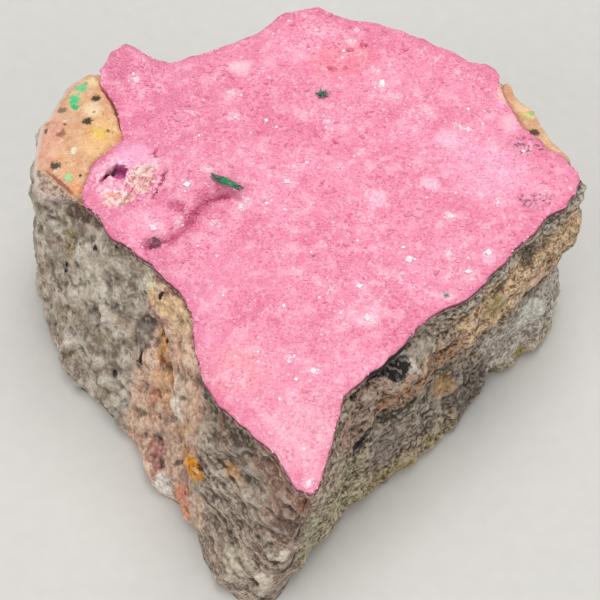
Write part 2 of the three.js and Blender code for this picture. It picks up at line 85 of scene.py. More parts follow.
undercut_wall = [
    (8.4, -24.8, 14.9, -24.8), (10.6, -23.0, 17.9, -22.3), (13.3, -20.4, 20.6, -20.1),
    (16.4, -17.3, 23.7, -17.7), (19.2, -14.1, 27.4, -13.7),
]
ledge_wall = [
    (22.7, -11.6, 29.6, -10.7), (25.8, -10.0, 32.1, -7.8), (29.1, -6.6, 34.7, -4.8),
    (33.3, -2.1, 37.5, -2.4), (36.8, 1.7, 40.3, 0.7), (40.5, 6.2, 43.6, 2.4),
    (43.1, 7.8, 46.2, 7.0), (45.3, 10.6, 46.9, 11.6), (46.1, 14.3, 48.2, 16.7),
]
wall = np.array(band_wall + back_wall + lump_wall + left_wall + tongue_wall + right_wall
                + undercut_wall + ledge_wall)
stations = len(wall)

# Where the crust ends against the bare rock.
lump_edge = [
    (-34.9, 35.3), (-33.8, 32.3), (-32.5, 30.5), (-30.9, 26.1), (-30.1, 23.5), (-30.1, 21.2),
    (-32.5, 18.6), (-34.6, 15.5), (-35.4, 11.8), (-36.0, 10.4),
]
band_edge = [
    (44.1, 17.2), (41.0, 19.7), (38.8, 22.9), (37.3, 24.8), (35.2, 30.8), (34.7, 33.2),
]

# Lumps and pits of the wall: station, height from 0 to 1, half run, half rise, millimetres out.
wall_lumps = [
    (46.2, 0.06, 0.7, 0.08, 1.4), (48.8, 0.4, 0.5, 0.06, -0.7), (46.3, 0.56, 0.7, 0.17, 0.6),
    (46.8, 0.83, 1.1, 0.12, 0.8), (44.2, 0.88, 1.3, 0.12, 0.7), (40.9, 0.95, 0.6, 0.06, -1.3),
    (38.6, 0.95, 1.4, 0.05, -0.9), (57.2, 0.4, 0.7, 0.09, 1.0), (56.0, 0.17, 0.8, 0.11, 1.2),
    (53.5, 0.17, 0.8, 0.1, 1.0), (71.2, 0.03, 0.45, 0.1, -3.2), (76.3, 0.79, 1.1, 0.13, 0.7),
    (64.0, 0.54, 1.3, 0.06, -1.0), (66.2, 0.8, 1.2, 0.08, 1.3), (50.4, 0.87, 1.3, 0.07, -0.9),
    (53.4, 0.93, 1.6, 0.05, -0.9), (12.5, 0.55, 2.0, 0.18, 0.9), (19.0, 0.3, 2.2, 0.15, 1.0),
    (25.0, 0.7, 1.5, 0.12, -0.9), (33.5, 0.45, 1.8, 0.2, 0.8), (3.0, 0.35, 1.6, 0.15, -0.8),
    (8.0, 0.75, 1.5, 0.1, -0.7),
]

# The layered front comes in and goes out over these stations. Past it the wall is sandy.
layered_from, layered_to = (49.0, 51.5), (56.8, 58.6)
level_height, level_slope = 36.1, 0.06  # the crust's general level, and its rise to the back
crust_depth = 2.0  # from the seat on the rock up to that level
bare_drop = 0.7  # how far the bare rock lies under it
undercut_depth = 3.2
seat_past_rim, seat_past_bare = 3.0, 0.25  # how far the seat runs out past the crust's outline
lump_centre = (-36.0, 23.0)
centring = np.array([0.8, -3.56, 0.0])  # brings the middle of the base to the origin
millimetre = 0.001  # in the scene's metres


def smooth(start, stop, value):
    """Eased step from 0 at start to 1 at stop: 3 times the share squared less twice its cube."""
    share = np.clip((value - start) / (stop - start), 0.0, 1.0)
    return share * share * (3.0 - 2.0 * share)


def bell(distance, width):
    """Rounded hump: e to the power of minus the square of distance over width."""
    return np.exp(-((distance / width) ** 2))


def level_at(x, y):
    """The crust's level: a plane that rises a little towards the back, the same across."""
    return level_height + level_slope * y + 0.0 * x


def line_distance(x, y, points, closed=False):
    """Distance to the nearest of a chain of straight lines."""
    ends = points[1:] + points[:1] if closed else points[1:]
    nearest = np.full(np.shape(x), 1e9)
    for (ax, ay), (bx, by) in zip(points, ends):
        run = (bx - ax) ** 2 + (by - ay) ** 2
        share = np.clip(((x - ax) * (bx - ax) + (y - ay) * (by - ay)) / run, 0.0, 1.0)
        gap = np.hypot(x - ax - share * (bx - ax), y - ay - share * (by - ay))
        nearest = np.minimum(nearest, gap)
    return nearest


def within(x, y, outline):
    """Whether places lie inside a closed outline: those from which it is crossed an odd number of
    times on the way out to the right."""
    inside = np.zeros(np.shape(x), bool)
    for (ax, ay), (bx, by) in zip(outline, outline[1:] + outline[:1]):
        if ay != by:
            inside ^= ((ay > y) != (by > y)) & (x < ax + (y - ay) * (bx - ax) / (by - ay))
    return inside


def draw(seed, *whole):
    """A repeatable number from 0 to 1 for each lattice place: its whole numbers mixed by primes."""
    key = np.full(np.shape(whole[0]), seed * 97531 + 12345, np.int64)
    for part, prime in zip(whole, (73856093, 19349663, 83492791)):
        key ^= np.asarray(part, np.int64) * prime
    key = (key ^ (key >> 13)) * 1274126177 & 0x7FFFFFFFFFFF
    return ((key ^ (key >> 16)) & 0xFFFF) / 65535.0


def grain(x, y, z, size, seed):
    """Soft lumps from -1 to 1: random numbers on a lattice of one size, eased between corners."""
    cells = [np.floor(v / size) for v in (x, y, z)]
    eases = [smooth(0.0, 1.0, v / size - cell) for v, cell in zip((x, y, z), cells)]
    total = 0.0
    for corner in range(8):
        steps = [corner & 1, corner >> 1 & 1, corner >> 2]
        share = math.prod(e if s else 1.0 - e for e, s in zip(eases, steps))
        total = total + share * draw(seed, *(c + s for c, s in zip(cells, steps)))
    return 2.0 * total - 1.0


def grit(x, y, z, coarsest, seed, layers=4, fall=0.55):
    """Broken-rock roughness: lumps of halving size, each layer lower by the same share."""
    return sum(fall ** k * grain(x, y, z, coarsest * 0.5 ** k, seed + k) for k in range(layers))


def lines_at(station):
    """The wall's upright line at a station, part way between its two neighbours."""
    lower = np.floor(station).astype(int)
    share = (station - lower)[..., None]
    return wall[lower % stations] * (1.0 - share) + wall[(lower + 1) % stations] * share


def rim_of(*groups):
    """The places along the rim, from lists of upright lines."""
    return [(x, y) for group in groups for x, y, _, _ in group]


crust_outline = (
    rim_of(back_wall) + lump_edge
    + rim_of(left_wall, tongue_wall, right_wall, undercut_wall, ledge_wall) + band_edge)


def ragged(x, y):
    """How far the broken rim strays outwards, in millimetres."""
    return 0.34 * grain(x, y, 0.0 * x, 3.1, 61) + 0.22 * grain(x, y, 0.0 * x, 1.3, 62)


ridge_line = len(band_wall + back_wall + lump_wall + left_wall) - 1
undercut_middle = ridge_line + 1 + len(tongue_wall + right_wall) + (len(undercut_wall) - 1) / 2
ledge_start = len(wall) - len(ledge_wall)


def wall_relief(station, height):
    """How far the wall stands out: single lumps, the undercut, the front ridge and the hollow
    beside it, the ledge, and the foot, which is drawn in."""
    out = sum(stand * bell(station - along, run) * bell(height - up, rise)
              for along, up, run, rise, stand in wall_lumps)
    along_undercut = 1.0 - smooth(1.3, 2.9, np.abs(station - undercut_middle))
    out = out - undercut_depth * along_undercut * smooth(0.84, 0.93, height)
    out = out + 0.9 * bell(station - ridge_line, 1.2) * np.sin(np.pi * height)
    out = out - 1.3 * bell(station - ridge_line - 3.5, 2.2) * np.sin(np.pi * height)
    out = out + 0.9 * smooth(ledge_start - 4, ledge_start + 3, station) * (
        bell(height - 0.72, 0.16) - 0.8 * bell(height - 0.3, 0.18))
    return out - 1.1 * bell(height, 0.05)


def rock_top(x, y):
    """The rock's upper side: the level, worn round along the bare lump's and the band's rims."""
    lump_fall = 1.7 * np.exp(-line_distance(x, y, rim_of(lump_wall)) / 1.9)
    band_fall = 0.3 * np.exp(-line_distance(x, y, rim_of(band_wall)) / 1.5)
    crown = 0.5 * bell(np.hypot(x - lump_centre[0], y - lump_centre[1]), 6.0)
    return level_at(x, y) - bare_drop + crown - lump_fall - band_fall


def seat_cut(x, y, z):
    """Lowers what lies under the crust to its seat. The seat runs out past the broken rim."""
    outline = []
    count = len(crust_outline)
    for k, (px, py) in enumerate(crust_outline):
        before, after = crust_outline[k - 1], crust_outline[(k + 1) % count]
        run = math.hypot(after[0] - before[0], after[1] - before[1])
        out = seat_past_bare if (px, py) in lump_edge + band_edge else seat_past_rim
        outline.append((px + (after[1] - before[1]) / run * out,
                        py - (after[0] - before[0]) / run * out))
    seat = level_at(x, y) - crust_depth
    return np.where(within(x, y, outline), np.minimum(z, seat), z)


def wall_grit(x, y, z, station):
    """Roughness of the broken wall: hackly lumps of every size, then rounded grains with sharp
    creases between them, or thin level ledges on the layered front."""
    sandy = smooth(*layered_to, station)
    layered = smooth(*layered_from, station) * (1.0 - sandy)
    coarse = 0.6 * grit(x, y, z * (1.0 + 0.9 * layered), 4.2, 11, 5, 0.58)
    layer = z + 0.45 * x
    ledges = (0.42 * grit(0.22 * x, 0.22 * y, layer, 1.1, 21, 2, 0.7)
              + 0.16 * grain(x, y, z, 0.8, 23))
    flat = 1.0 + 0.8 * sandy
    grains = (0.55 * np.abs(grain(x, y, z * flat, 1.9, 31))
              + (0.24 + 0.14 * sandy) * np.abs(grain(x, y, z * flat, 0.95, 32)))
    return coarse + layered * ledges + (1.0 - layered) * grains


def wall_place(station, height):
    """A place on the wall. It goes straight from foot to rim, its corners eased halfway up, and
    moves outwards by the relief, by broad lumps and by the grit."""
    line = lines_at(station)
    calm = (0.8 * np.sin(np.pi * height))[..., None]
    line_mean = (lines_at(station - 1.0) + line + lines_at(station + 1.0)) / 3.0
    eased = line + calm * (line_mean - line)
    x = eased[..., 2] + (eased[..., 0] - eased[..., 2]) * height
    y = eased[..., 3] + (eased[..., 1] - eased[..., 3]) * height
    z = rock_top(line[..., 0], line[..., 1]) * height
    before, after = lines_at(station - 1.5), lines_at(station + 1.5)
    out_x, out_y = after[..., 1] - before[..., 1], before[..., 0] - after[..., 0]
    length = np.hypot(out_x, out_y)
    body = smooth(0.0, 0.08, height) * (1.0 - smooth(0.9, 1.0, height))
    broad = (0.55 * np.sin(0.43 * x + 0.31 * z + 1.3) * np.sin(0.37 * y - 0.29 * z + 0.4)
             + 0.35 * np.sin(0.83 * x - 0.71 * z + 2.1) * np.sin(0.77 * y + 0.59 * z + 1.7))
    fine = (wall_grit(x, y, z, station) * smooth(0.0, 0.04, height)
            * (1.0 - smooth(0.965, 1.0, height)))
    stray = ragged(line[..., 0], line[..., 1]) * smooth(0.75, 1.0, height)
    relief = wall_relief(station, height) + broad * body + fine + stray - 0.25
    return x + out_x / length * relief, y + out_y / length * relief, z, relief


def bare_texture(x, y):
    """The bare rock on top: satin smooth swells, and the worn edges of its grains."""
    swells = 0.16 * grain(x, y, 0.0 * x, 3.4, 71) + 0.09 * grain(x, y, 0.0 * x, 1.5, 72)
    return swells + 0.035 * grain(x, y, 0.0 * x, 0.7, 73)


def mesh_piece(name, points, *face_sets, smooth_faces=True):
    """A mesh object from corner places in millimetres and arrays of three- and four-sided faces."""
    mesh = bpy.data.meshes.new(name)
    mesh.vertices.add(len(points))
    mesh.vertices.foreach_set("co", ((points + centring) * millimetre).astype(np.float32).ravel())
    corners = np.concatenate([faces.ravel() for faces in face_sets])
    sides = np.concatenate([np.full(len(faces), faces.shape[1]) for faces in face_sets])
    mesh.loops.add(len(corners))
    mesh.loops.foreach_set("vertex_index", corners.astype(np.int32))
    mesh.polygons.add(len(sides))
    mesh.polygons.foreach_set("loop_start", (np.cumsum(sides) - sides).astype(np.int32))
    mesh.polygons.foreach_set("use_smooth", np.full(len(sides), smooth_faces))
    mesh.update(calc_edges=True)
    piece = bpy.data.objects.new(name, mesh)
    bpy.context.scene.collection.objects.link(piece)
    return piece


def mark(piece, name, values):
    """One number at each corner place of a mesh, for its finish to read."""
    piece.data.attributes.new(name, "FLOAT", "POINT").data.foreach_set(
        "value", values.astype(np.float32).ravel())


# Columns run round the block, closer together in front than behind. Rows go from the base's middle
# out to the foot, up the wall, over the rim and in to the middle of the top.
front_spacing, back_spacing = 0.44, 0.86
step_lengths = np.linalg.norm(np.diff(wall, axis=0, append=wall[:1]), axis=1)  # rim and foot as one
in_front = np.arange(stations) >= len(band_wall + back_wall) + 2
steps = step_lengths / np.where(in_front, front_spacing, back_spacing)
columns = int(steps.sum())
column_station = np.interp(np.arange(columns) / columns * steps.sum(),
                           np.concatenate([[0.0], np.cumsum(steps)]), np.arange(stations + 1))
wall_heights = np.concatenate([[0.0, 0.006, 0.015], np.linspace(0.027, 0.9, 72),
                               np.linspace(0.91, 1.0, 14)])
station_grid, height_grid = np.meshgrid(column_station, wall_heights)
wall_x, wall_y, wall_z, relief = wall_place(station_grid, height_grid)
wall_z = seat_cut(wall_x, wall_y, wall_z)

# A crevice lies lower than the mean of the square of grid places round it.
to_side = 4
square = 2 * to_side + 1
around = sum(np.roll(relief, k, axis=1) for k in range(-to_side, to_side + 1)) / square
padded = np.pad(around, ((to_side, to_side), (0, 0)), mode="edge")
around = sum(padded[k:k + len(relief)] for k in range(square)) / square
crevice = around - relief

rim_x, rim_y = wall_x[-1], wall_y[-1]
rim_reach = np.hypot(rim_x, rim_y)
inwards = np.concatenate([[0.12, 0.3], np.arange(0.6, 14.2, 0.58), [16.0, 20.0, 27.0]])
shares = 1.0 - inwards[:, None] / rim_reach
top_x, top_y = rim_x * shares, rim_y * shares
worn = smooth(0.0, 1.0, inwards)[:, None]
top_z = seat_cut(top_x, top_y, rock_top(top_x, top_y) + worn * bare_texture(top_x, top_y))

base_shares = np.array([0.2, 0.5, 0.8, 0.93])[:, None]
base_x, base_y = wall_x[0] * base_shares, wall_y[0] * base_shares

grid = np.concatenate([
    np.stack([base_x, base_y, 0.0 * base_x], -1),
    np.stack([wall_x, wall_y, wall_z], -1),
    np.stack([top_x, top_y, top_z], -1),
])
rows = len(grid)
up = np.concatenate([0.0 * base_shares[:, 0], wall_heights, 1.0 + inwards / 100.0])
points = np.concatenate([grid.reshape(-1, 3), [[0.0, 0.0, 0.0], [0.0, 0.0, grid[-1, :, 2].mean()]]])
place = np.arange(rows * columns).reshape(rows, columns)
right = np.roll(place, -1, axis=1)
quads = np.stack([place[:-1], right[:-1], right[1:], place[1:]], -1).reshape(-1, 4)
fans = np.concatenate([
    np.stack([np.full(columns, rows * columns), right[0], place[0]], -1),
    np.stack([np.full(columns, rows * columns + 1), place[-1], right[-1]], -1),
])
host_rock = mesh_piece("host_rock", points, quads, fans)
on_top = np.repeat(np.append(up[:-1] >= 1.0, [False, True]), columns)
host_rock.data.polygons.foreach_set("material_index", on_top.astype(np.int32))

# The finish follows the wall by station and height, so both go into a UV map, corner by corner.
u_left = np.broadcast_to(column_station, (rows, columns))
u_right = np.broadcast_to(np.append(column_station[1:], stations), (rows, columns))
v = np.broadcast_to(up[:, None], (rows, columns))
quad_uv = np.stack([np.stack([u_left[:-1], u_right[:-1], u_right[1:], u_left[1:]], -1),
                    np.stack([v[:-1], v[:-1], v[1:], v[1:]], -1)], -1).reshape(-1, 2)
fan_uv = np.stack([
    np.concatenate([np.stack([u_left[0], u_right[0], u_left[0]], -1),
                    np.stack([u_left[0], u_left[0], u_right[0]], -1)]),
    np.concatenate([np.zeros((columns, 3)), np.full((columns, 3), 1.3)]),
], -1).reshape(-1, 2)
host_rock.data.uv_layers.new(name="wall").data.foreach_set(
    "uv", np.concatenate([quad_uv, fan_uv]).astype(np.float32).ravel())
deep = np.zeros(len(points))
wall_start = len(base_shares) * columns
deep[wall_start:wall_start + crevice.size] = crevice.ravel()
mark(host_rock, "crevice", deep)


class Wire:
    """One output of a node. Arithmetic on it adds Math nodes, so shader maths reads as maths."""

    def __init__(self, finish, socket):
        self.finish, self.socket = finish, socket

    def maths(self, operation, *values):
        return self.finish.node("ShaderNodeMath", {"operation": operation}, dict(enumerate(values)))

    def __add__(self, other):
        return self.maths("ADD", self, other)

    def __sub__(self, other):
        return self.maths("SUBTRACT", self, other)

    def __rsub__(self, other):
        return self.maths("SUBTRACT", other, self)

    def __mul__(self, other):
        return self.maths("MULTIPLY", self, other)

    __radd__ = __add__

    def least(self, other):
        return self.maths("MINIMUM", self, other)

    def most(self, other):
        return self.maths("MAXIMUM", self, other)


def tone(red, green, blue):
    """A colour as a painter reads it, 0 to 255, brought to the shader's linear scale."""
    return tuple(((v / 255 + 0.055) / 1.055) ** 2.4 for v in (red, green, blue)) + (1.0,)


class Finish:
    """A material: its Principled shader, object places in millimetres, and one way to add nodes."""

    def __init__(self, name, **sockets):
        self.material = bpy.data.materials.new(name)
        self.material.use_nodes = True
        self.tree = self.material.node_tree
        self.shader = self.tree.nodes["Principled BSDF"]
        for socket, value in sockets.items():
            self.shader.inputs[socket.replace("_", " ")].default_value = value
        bare = self.node("ShaderNodeTexCoord", output="Object")
        scaled = self.node("ShaderNodeVectorMath", {"operation": "SCALE"},
                           {0: bare, 3: 1.0 / millimetre})
        self.place = self.node("ShaderNodeVectorMath", {"operation": "SUBTRACT"},
                               {0: scaled, 1: tuple(centring)})
        parts = self.node("ShaderNodeSeparateXYZ", {}, {0: self.place})
        self.x, self.y, self.z = (Wire(self, out) for out in parts.socket.node.outputs)

    def node(self, kind, settings={}, inputs={}, output=0):
        """A node of one type: its settings first, then the values or wires of its inputs."""
        made = self.tree.nodes.new(kind)
        for name, value in settings.items():
            setattr(made, name, value)
        for key, value in inputs.items():
            if isinstance(value, Wire):
                self.tree.links.new(value.socket, made.inputs[key])
            else:
                made.inputs[key].default_value = value
        return Wire(self, made.outputs[output])

    def set(self, **wires):
        """Joins wires to the shader's inputs of those names."""
        for socket, wire in wires.items():
            self.tree.links.new(wire.socket, self.shader.inputs[socket.replace("_", " ")])

    def step(self, value, start, stop):
        """Eased step from 0 at start to 1 at stop."""
        return self.node("ShaderNodeMapRange", {"interpolation_type": "SMOOTHSTEP"},
                         {0: value, 1: start, 2: stop})

    def mix(self, share, first, second):
        """A colour between two: all the first at share 0, all the second at 1."""
        return self.node("ShaderNodeMix", {"data_type": "RGBA"}, {0: share, 6: first, 7: second},
                         output=2)

    def stretch(self, by):
        """The place in millimetres, times one number along each axis."""
        return self.node("ShaderNodeVectorMath", {"operation": "MULTIPLY"}, {0: self.place, 1: by})

    def noise(self, size, detail=2.0, place=None, rough=0.5, output=0):
        """Cloudy pattern from 0 to 1, with lumps of about one size in millimetres."""
        return self.node("ShaderNodeTexNoise", {},
                         {"Vector": place or self.place, "Scale": 1.0 / size, "Detail": detail,
                          "Roughness": rough}, output)

    def cells(self, size, output="Distance", place=None, **settings):
        """Voronoi cells of about one size in millimetres."""
        return self.node("ShaderNodeTexVoronoi", settings,
                         {"Vector": place or self.place, "Scale": 1.0 / size}, output)

    def spot(self, first, second):
        """Two wires as one place on a surface."""
        return self.node("ShaderNodeCombineXYZ", {}, {0: first, 1: second})

    def blot(self, spot, middle, half, wobble, strength=1.0, core=0.74):
        """A patch, strong inside and 0 outside: an oval whose edge wanders with a noise."""
        shares = self.node("ShaderNodeVectorMath", {"operation": "MULTIPLY_ADD"},
                           {0: spot, 1: (1 / half[0], 1 / half[1], 0.0),
                            2: (-middle[0] / half[0], -middle[1] / half[1], 0.0)})
        reach = self.node("ShaderNodeVectorMath", {"operation": "LENGTH"}, {0: shares}, "Value")
        return self.node("ShaderNodeMapRange", {"interpolation_type": "SMOOTHSTEP"},
                         {0: reach + wobble, 1: 1.1, 2: core, 4: strength})

    def painted(self, colour, patches, spot, wobble, core=0.74, grains=None, dark=1.0, pale=1.0):
        """A colour with patches laid over it in turn: middle across and along, half widths, paint
        and strength. With grains, each patch goes from a dark to a pale share of its paint."""
        for over, back, half_over, half_back, paint, strength in patches:
            patch = self.blot(spot, (over, back), (half_over, half_back), wobble, strength, core)
            coat = tone(*paint)
            if grains:
                coat = self.mix(grains, tone(*(dark * v for v in paint)),
                                tone(*(min(255, pale * v) for v in paint)))
            colour = self.mix(patch, colour, coat)
        return colour

    def number(self, name):
        """A number marked on the mesh."""
        return self.node("ShaderNodeAttribute", {"attribute_name": name}, output="Fac")

    def bump(self, height, distance):
        """The slope of a surface, from a height pattern that is as deep as a distance in metres."""
        return self.node("ShaderNodeBump", {}, {"Height": height, "Distance": distance,
                                                "Strength": 1.0}, output="Normal")


def wall_map(finish):
    """Station and height at each place of the rock."""
    uv = finish.node("ShaderNodeUVMap", {"uv_map": "wall"})
    parts = finish.node("ShaderNodeSeparateXYZ", {}, {0: uv}).socket.node.outputs
    return Wire(finish, parts[0]), Wire(finish, parts[1])


def zone(finish, along, up, first, last, low, high, soft_run=0.4, soft_rise=0.05):
    """1 between two stations and two heights, and 0 beyond, eased over a short way."""
    run = finish.step(along, first - soft_run, first + soft_run).least(
        finish.step(along, last + soft_run, last - soft_run))
    rise = finish.step(up, low - soft_rise, low + soft_rise).least(
        finish.step(up, high + soft_rise, high - soft_rise))
    return run * rise


lump_first, lump_last = 29.4, 37.4  # stations of the bare lump's rim, which is worn chalky
chalk_dark, chalk_pale = tone(186, 164, 156), tone(246, 228, 220)
grain_size = 0.62

rock = Finish("Host rock", Specular_IOR_Level=0.3)
station, height = wall_map(rock)
crevice = rock.number("crevice")
fine = rock.noise(0.5, 4.0, rough=0.65)
middle = rock.noise(2.4, 5.0, rough=0.62)
broad = rock.noise(8.0, 2.0)
coarse_grain = rock.noise(0.7, 2.0)
wander = (middle - 0.5) * 2.0 + (fine - 0.5) * 1.2
along, up = station + wander * 0.5, height + wander * 0.05

# Pale granular rock on the left and behind: lumps of quartz, with pinkish and olive stains, grey
# grains between them and a few black specks.
lumps = rock.step(rock.noise(3.2, 4.0, rough=0.6), 0.38, 0.62)
granular = rock.mix(lumps, tone(138, 124, 108), tone(221, 211, 194))
mottle = rock.step(fine * 0.6 + middle * 0.4, 0.36, 0.6)
granular = rock.mix((1.0 - mottle) * 0.5, granular, tone(108, 94, 82))
granular = rock.mix(rock.step(rock.noise(6.0, 3.0), 0.52, 0.66) * 0.5, granular,
                    tone(192, 166, 150))
granular = rock.mix(rock.step(rock.noise(5.5, 4.0, rough=0.6), 0.54, 0.62) * 0.45, granular,
                    tone(142, 126, 82))
specks = rock.step(rock.noise(0.85, 4.0, rough=0.6), 0.62, 0.67) * rock.step(broad, 0.42, 0.56)
granular = rock.mix(specks * 0.85, granular, tone(48, 42, 36))

# Thin grey-brown layers on the front tongue, redder towards the ridge.
slanted = rock.node("ShaderNodeMapping", {"vector_type": "TEXTURE"},
                    {0: rock.place, "Rotation": (0.0, 0.42, 0.0), "Scale": (5.0, 5.0, 0.55)})
layers = rock.noise(1.0, 4.0, slanted, 0.7)
foliated = rock.mix(rock.step(layers * 0.6 + fine * 0.4, 0.39, 0.59), tone(88, 70, 60),
                    tone(196, 178, 160))
foliated = rock.mix(rock.step(rock.noise(2.6, 4.0, slanted, 0.6), 0.5, 0.6) * 0.55, foliated,
                    tone(112, 82, 68))
foliated = rock.mix(rock.step(rock.noise(0.7, 3.0, rough=0.6), 0.58, 0.68) * 0.55, foliated,
                    tone(202, 190, 174))
foliated = rock.mix(rock.step(up, 0.72, 0.9) * 0.65, foliated,
                    rock.mix(fine, tone(84, 52, 42), tone(176, 130, 108)))
reddish = rock.step(station, 52.5, 56.5) * rock.step(height + (middle - 0.5) * 0.5, 0.35, 0.75)
foliated = rock.mix(reddish * 0.6, foliated, rock.mix(fine, tone(100, 62, 50), tone(196, 148, 124)))
rib = rock.mix(rock.step(middle * 0.6 + fine * 0.4, 0.4, 0.6), tone(172, 124, 98),
               tone(238, 200, 174))
granular = rock.mix(zone(rock, along, up, 43.2, 49.6, -0.2, 1.2) * 0.85, granular, rib)
colour = rock.mix(rock.step(station + wander * 0.3, 49.6, 50.6), granular, foliated)

# Sandy rock on the right, dark and pale grains mixed. Its bands: first and last station, lowest
# and highest place, the dark and the pale grains' colours, and strength.
sand = rock.noise(0.95, 5.0, rock.stretch((0.55, 0.55, 1.5)), 0.7)
sand = rock.step(sand * 0.45 + coarse_grain * 0.25 + fine * 0.3, 0.43, 0.57)
sandy = rock.mix(sand, tone(56, 44, 36), tone(184, 162, 140))
bands = [
    (57.0, 63.4, -0.2, 0.60, (78, 68, 46), (200, 188, 152), 0.8),
    (57.5, 62.4, 0.62, 1.2, (108, 86, 72), (208, 186, 164), 0.6),
    (62.2, 67.0, 0.60, 0.92, (80, 46, 34), (196, 160, 140), 0.7),
    (65.0, 69.6, 0.62, 0.80, (90, 54, 32), (198, 146, 104), 0.7),
    (63.6, 69.8, 0.20, 0.52, (84, 76, 68), (172, 158, 144), 0.75),
    (62.0, 69.0, -0.2, 0.17, (96, 82, 46), (188, 172, 116), 0.65),
    (69.4, 76.8, 0.62, 0.92, (134, 102, 70), (252, 214, 170), 0.8),
    (66.8, 76.8, 0.92, 1.2, (84, 74, 66), (208, 198, 184), 0.7),
    (70.4, 77.0, 0.06, 0.52, (134, 124, 114), (220, 210, 198), 0.85),
    (68.0, 71.0, -0.2, 0.42, (66, 56, 50), (112, 100, 90), 0.9),
    (71.0, 77.0, -0.2, 0.10, (110, 92, 52), (184, 166, 110), 0.6),
]
for first, last, low, high, dark, pale, strength in bands:
    sandy = rock.mix(zone(rock, along, up, first, last, low, high) * strength, sandy,
                     rock.mix(sand, tone(*dark), tone(*pale)))
colour = rock.mix(rock.step(station + wander * 0.25, 57.8, 58.8)
                  * rock.step(station + wander * 1.3, 78.6, 77.1), colour, sandy)

# Stains and single crystals on the wall: station, height, half run, half rise, colour, strength.
# Some of them are painted shade: the dark bands just under the crust's rim near stations 38.9, 49.6
# and 52.2, the dark line along the crack at 63.3 to 64.6, and the dark notch at the foot near 71.1.
wall_patches = [
    (38.9, 0.95, 1.4, 0.05, (98, 72, 64), 0.85), (42.2, 0.95, 0.8, 0.04, (160, 136, 120), 0.7),
    (38.2, 0.78, 0.5, 0.09, (146, 130, 78), 0.6), (39.9, 0.66, 1.6, 0.12, (206, 196, 178), 0.5),
    (46.0, 0.985, 2.2, 0.018, (140, 76, 72), 0.7), (43.2, 0.64, 0.6, 0.09, (110, 100, 94), 0.85),
    (43.3, 0.93, 0.6, 0.035, (202, 192, 166), 0.8), (43.8, 0.89, 0.7, 0.055, (224, 184, 142), 0.9),
    (45.3, 0.93, 1.1, 0.075, (230, 188, 144), 0.9), (43.9, 0.81, 0.7, 0.05, (150, 112, 102), 0.85),
    (46.1, 0.82, 0.8, 0.09, (222, 178, 152), 0.7), (46.9, 0.80, 0.45, 0.08, (184, 138, 114), 0.8),
    (44.55, 0.69, 0.55, 0.11, (208, 140, 78), 0.95), (44.6, 0.62, 0.2, 0.06, (146, 80, 28), 0.8),
    (45.4, 0.62, 0.7, 0.05, (186, 118, 72), 0.9), (45.0, 0.52, 0.8, 0.09, (216, 164, 122), 0.9),
    (46.7, 0.68, 0.8, 0.08, (228, 200, 178), 0.85), (46.5, 0.53, 0.8, 0.09, (234, 208, 192), 0.95),
    (44.9, 0.36, 0.8, 0.10, (210, 164, 138), 0.9), (44.6, 0.42, 0.35, 0.06, (170, 104, 84), 0.6),
    (48.5, 0.69, 0.85, 0.12, (208, 176, 144), 0.9), (47.8, 0.48, 0.75, 0.07, (190, 132, 84), 0.95),
    (46.2, 0.33, 1.1, 0.09, (184, 148, 128), 0.85), (45.7, 0.19, 0.9, 0.08, (172, 116, 104), 0.95),
    (46.7, 0.10, 0.6, 0.09, (226, 212, 202), 1.0), (48.7, 0.30, 0.9, 0.07, (146, 102, 92), 0.85),
    (48.6, 0.15, 0.8, 0.13, (210, 138, 104), 1.0), (48.2, 0.19, 0.3, 0.05, (214, 116, 106), 0.7),
    (50.1, 0.24, 0.6, 0.14, (214, 180, 158), 0.8), (49.5, 0.49, 0.8, 0.075, (222, 142, 14), 1.0),
    (50.15, 0.56, 0.35, 0.04, (84, 38, 6), 0.95), (49.3, 0.60, 0.5, 0.03, (190, 124, 104), 0.7),
    (49.6, 0.95, 1.0, 0.06, (84, 74, 66), 0.85), (52.2, 0.90, 1.1, 0.08, (88, 74, 66), 0.8),
    (53.9, 0.96, 1.0, 0.05, (152, 116, 92), 0.75), (52.3, 0.67, 0.8, 0.05, (196, 148, 100), 0.85),
    (53.6, 0.70, 1.1, 0.12, (170, 156, 140), 0.55), (56.6, 0.66, 1.1, 0.16, (108, 80, 70), 0.75),
    (57.8, 0.88, 0.9, 0.08, (156, 108, 86), 0.8), (57.1, 0.43, 0.5, 0.06, (222, 202, 184), 0.95),
    (55.8, 0.22, 0.8, 0.08, (210, 194, 178), 0.9), (53.4, 0.23, 0.9, 0.10, (190, 178, 154), 0.8),
    (51.9, 0.17, 0.9, 0.08, (160, 138, 122), 0.6), (59.4, 0.40, 0.5, 0.35, (178, 172, 148), 0.7),
    (64.4, 0.915, 0.6, 0.03, (198, 172, 156), 0.8), (66.75, 0.87, 0.35, 0.05, (206, 200, 186), 0.8),
    (67.7, 0.84, 0.6, 0.05, (190, 180, 164), 0.55), (68.1, 0.44, 0.6, 0.10, (170, 134, 82), 0.75),
    (68.4, 0.54, 0.35, 0.05, (74, 66, 50), 0.7), (64.6, 0.56, 2.2, 0.035, (50, 50, 42), 0.85),
    (63.3, 0.54, 0.7, 0.04, (36, 36, 30), 0.75), (64.4, 0.33, 0.5, 0.08, (134, 118, 116), 0.7),
    (71.2, 0.78, 0.45, 0.06, (152, 132, 76), 0.8), (73.0, 0.88, 0.5, 0.06, (84, 68, 46), 0.75),
    (72.9, 0.67, 0.9, 0.06, (204, 170, 146), 0.75), (73.1, 0.57, 1.5, 0.025, (84, 62, 48), 0.8),
    (73.5, 0.35, 0.8, 0.12, (226, 220, 210), 0.8), (72.9, 0.07, 0.5, 0.05, (150, 132, 66), 0.8),
    (65.6, 0.10, 0.8, 0.06, (158, 138, 74), 0.8), (71.1, 0.03, 0.4, 0.06, (46, 40, 36), 0.8),
]
along_rib = rock.noise(1.1, 5.0, rock.stretch((1.0, 1.0, 0.45)), 0.68)
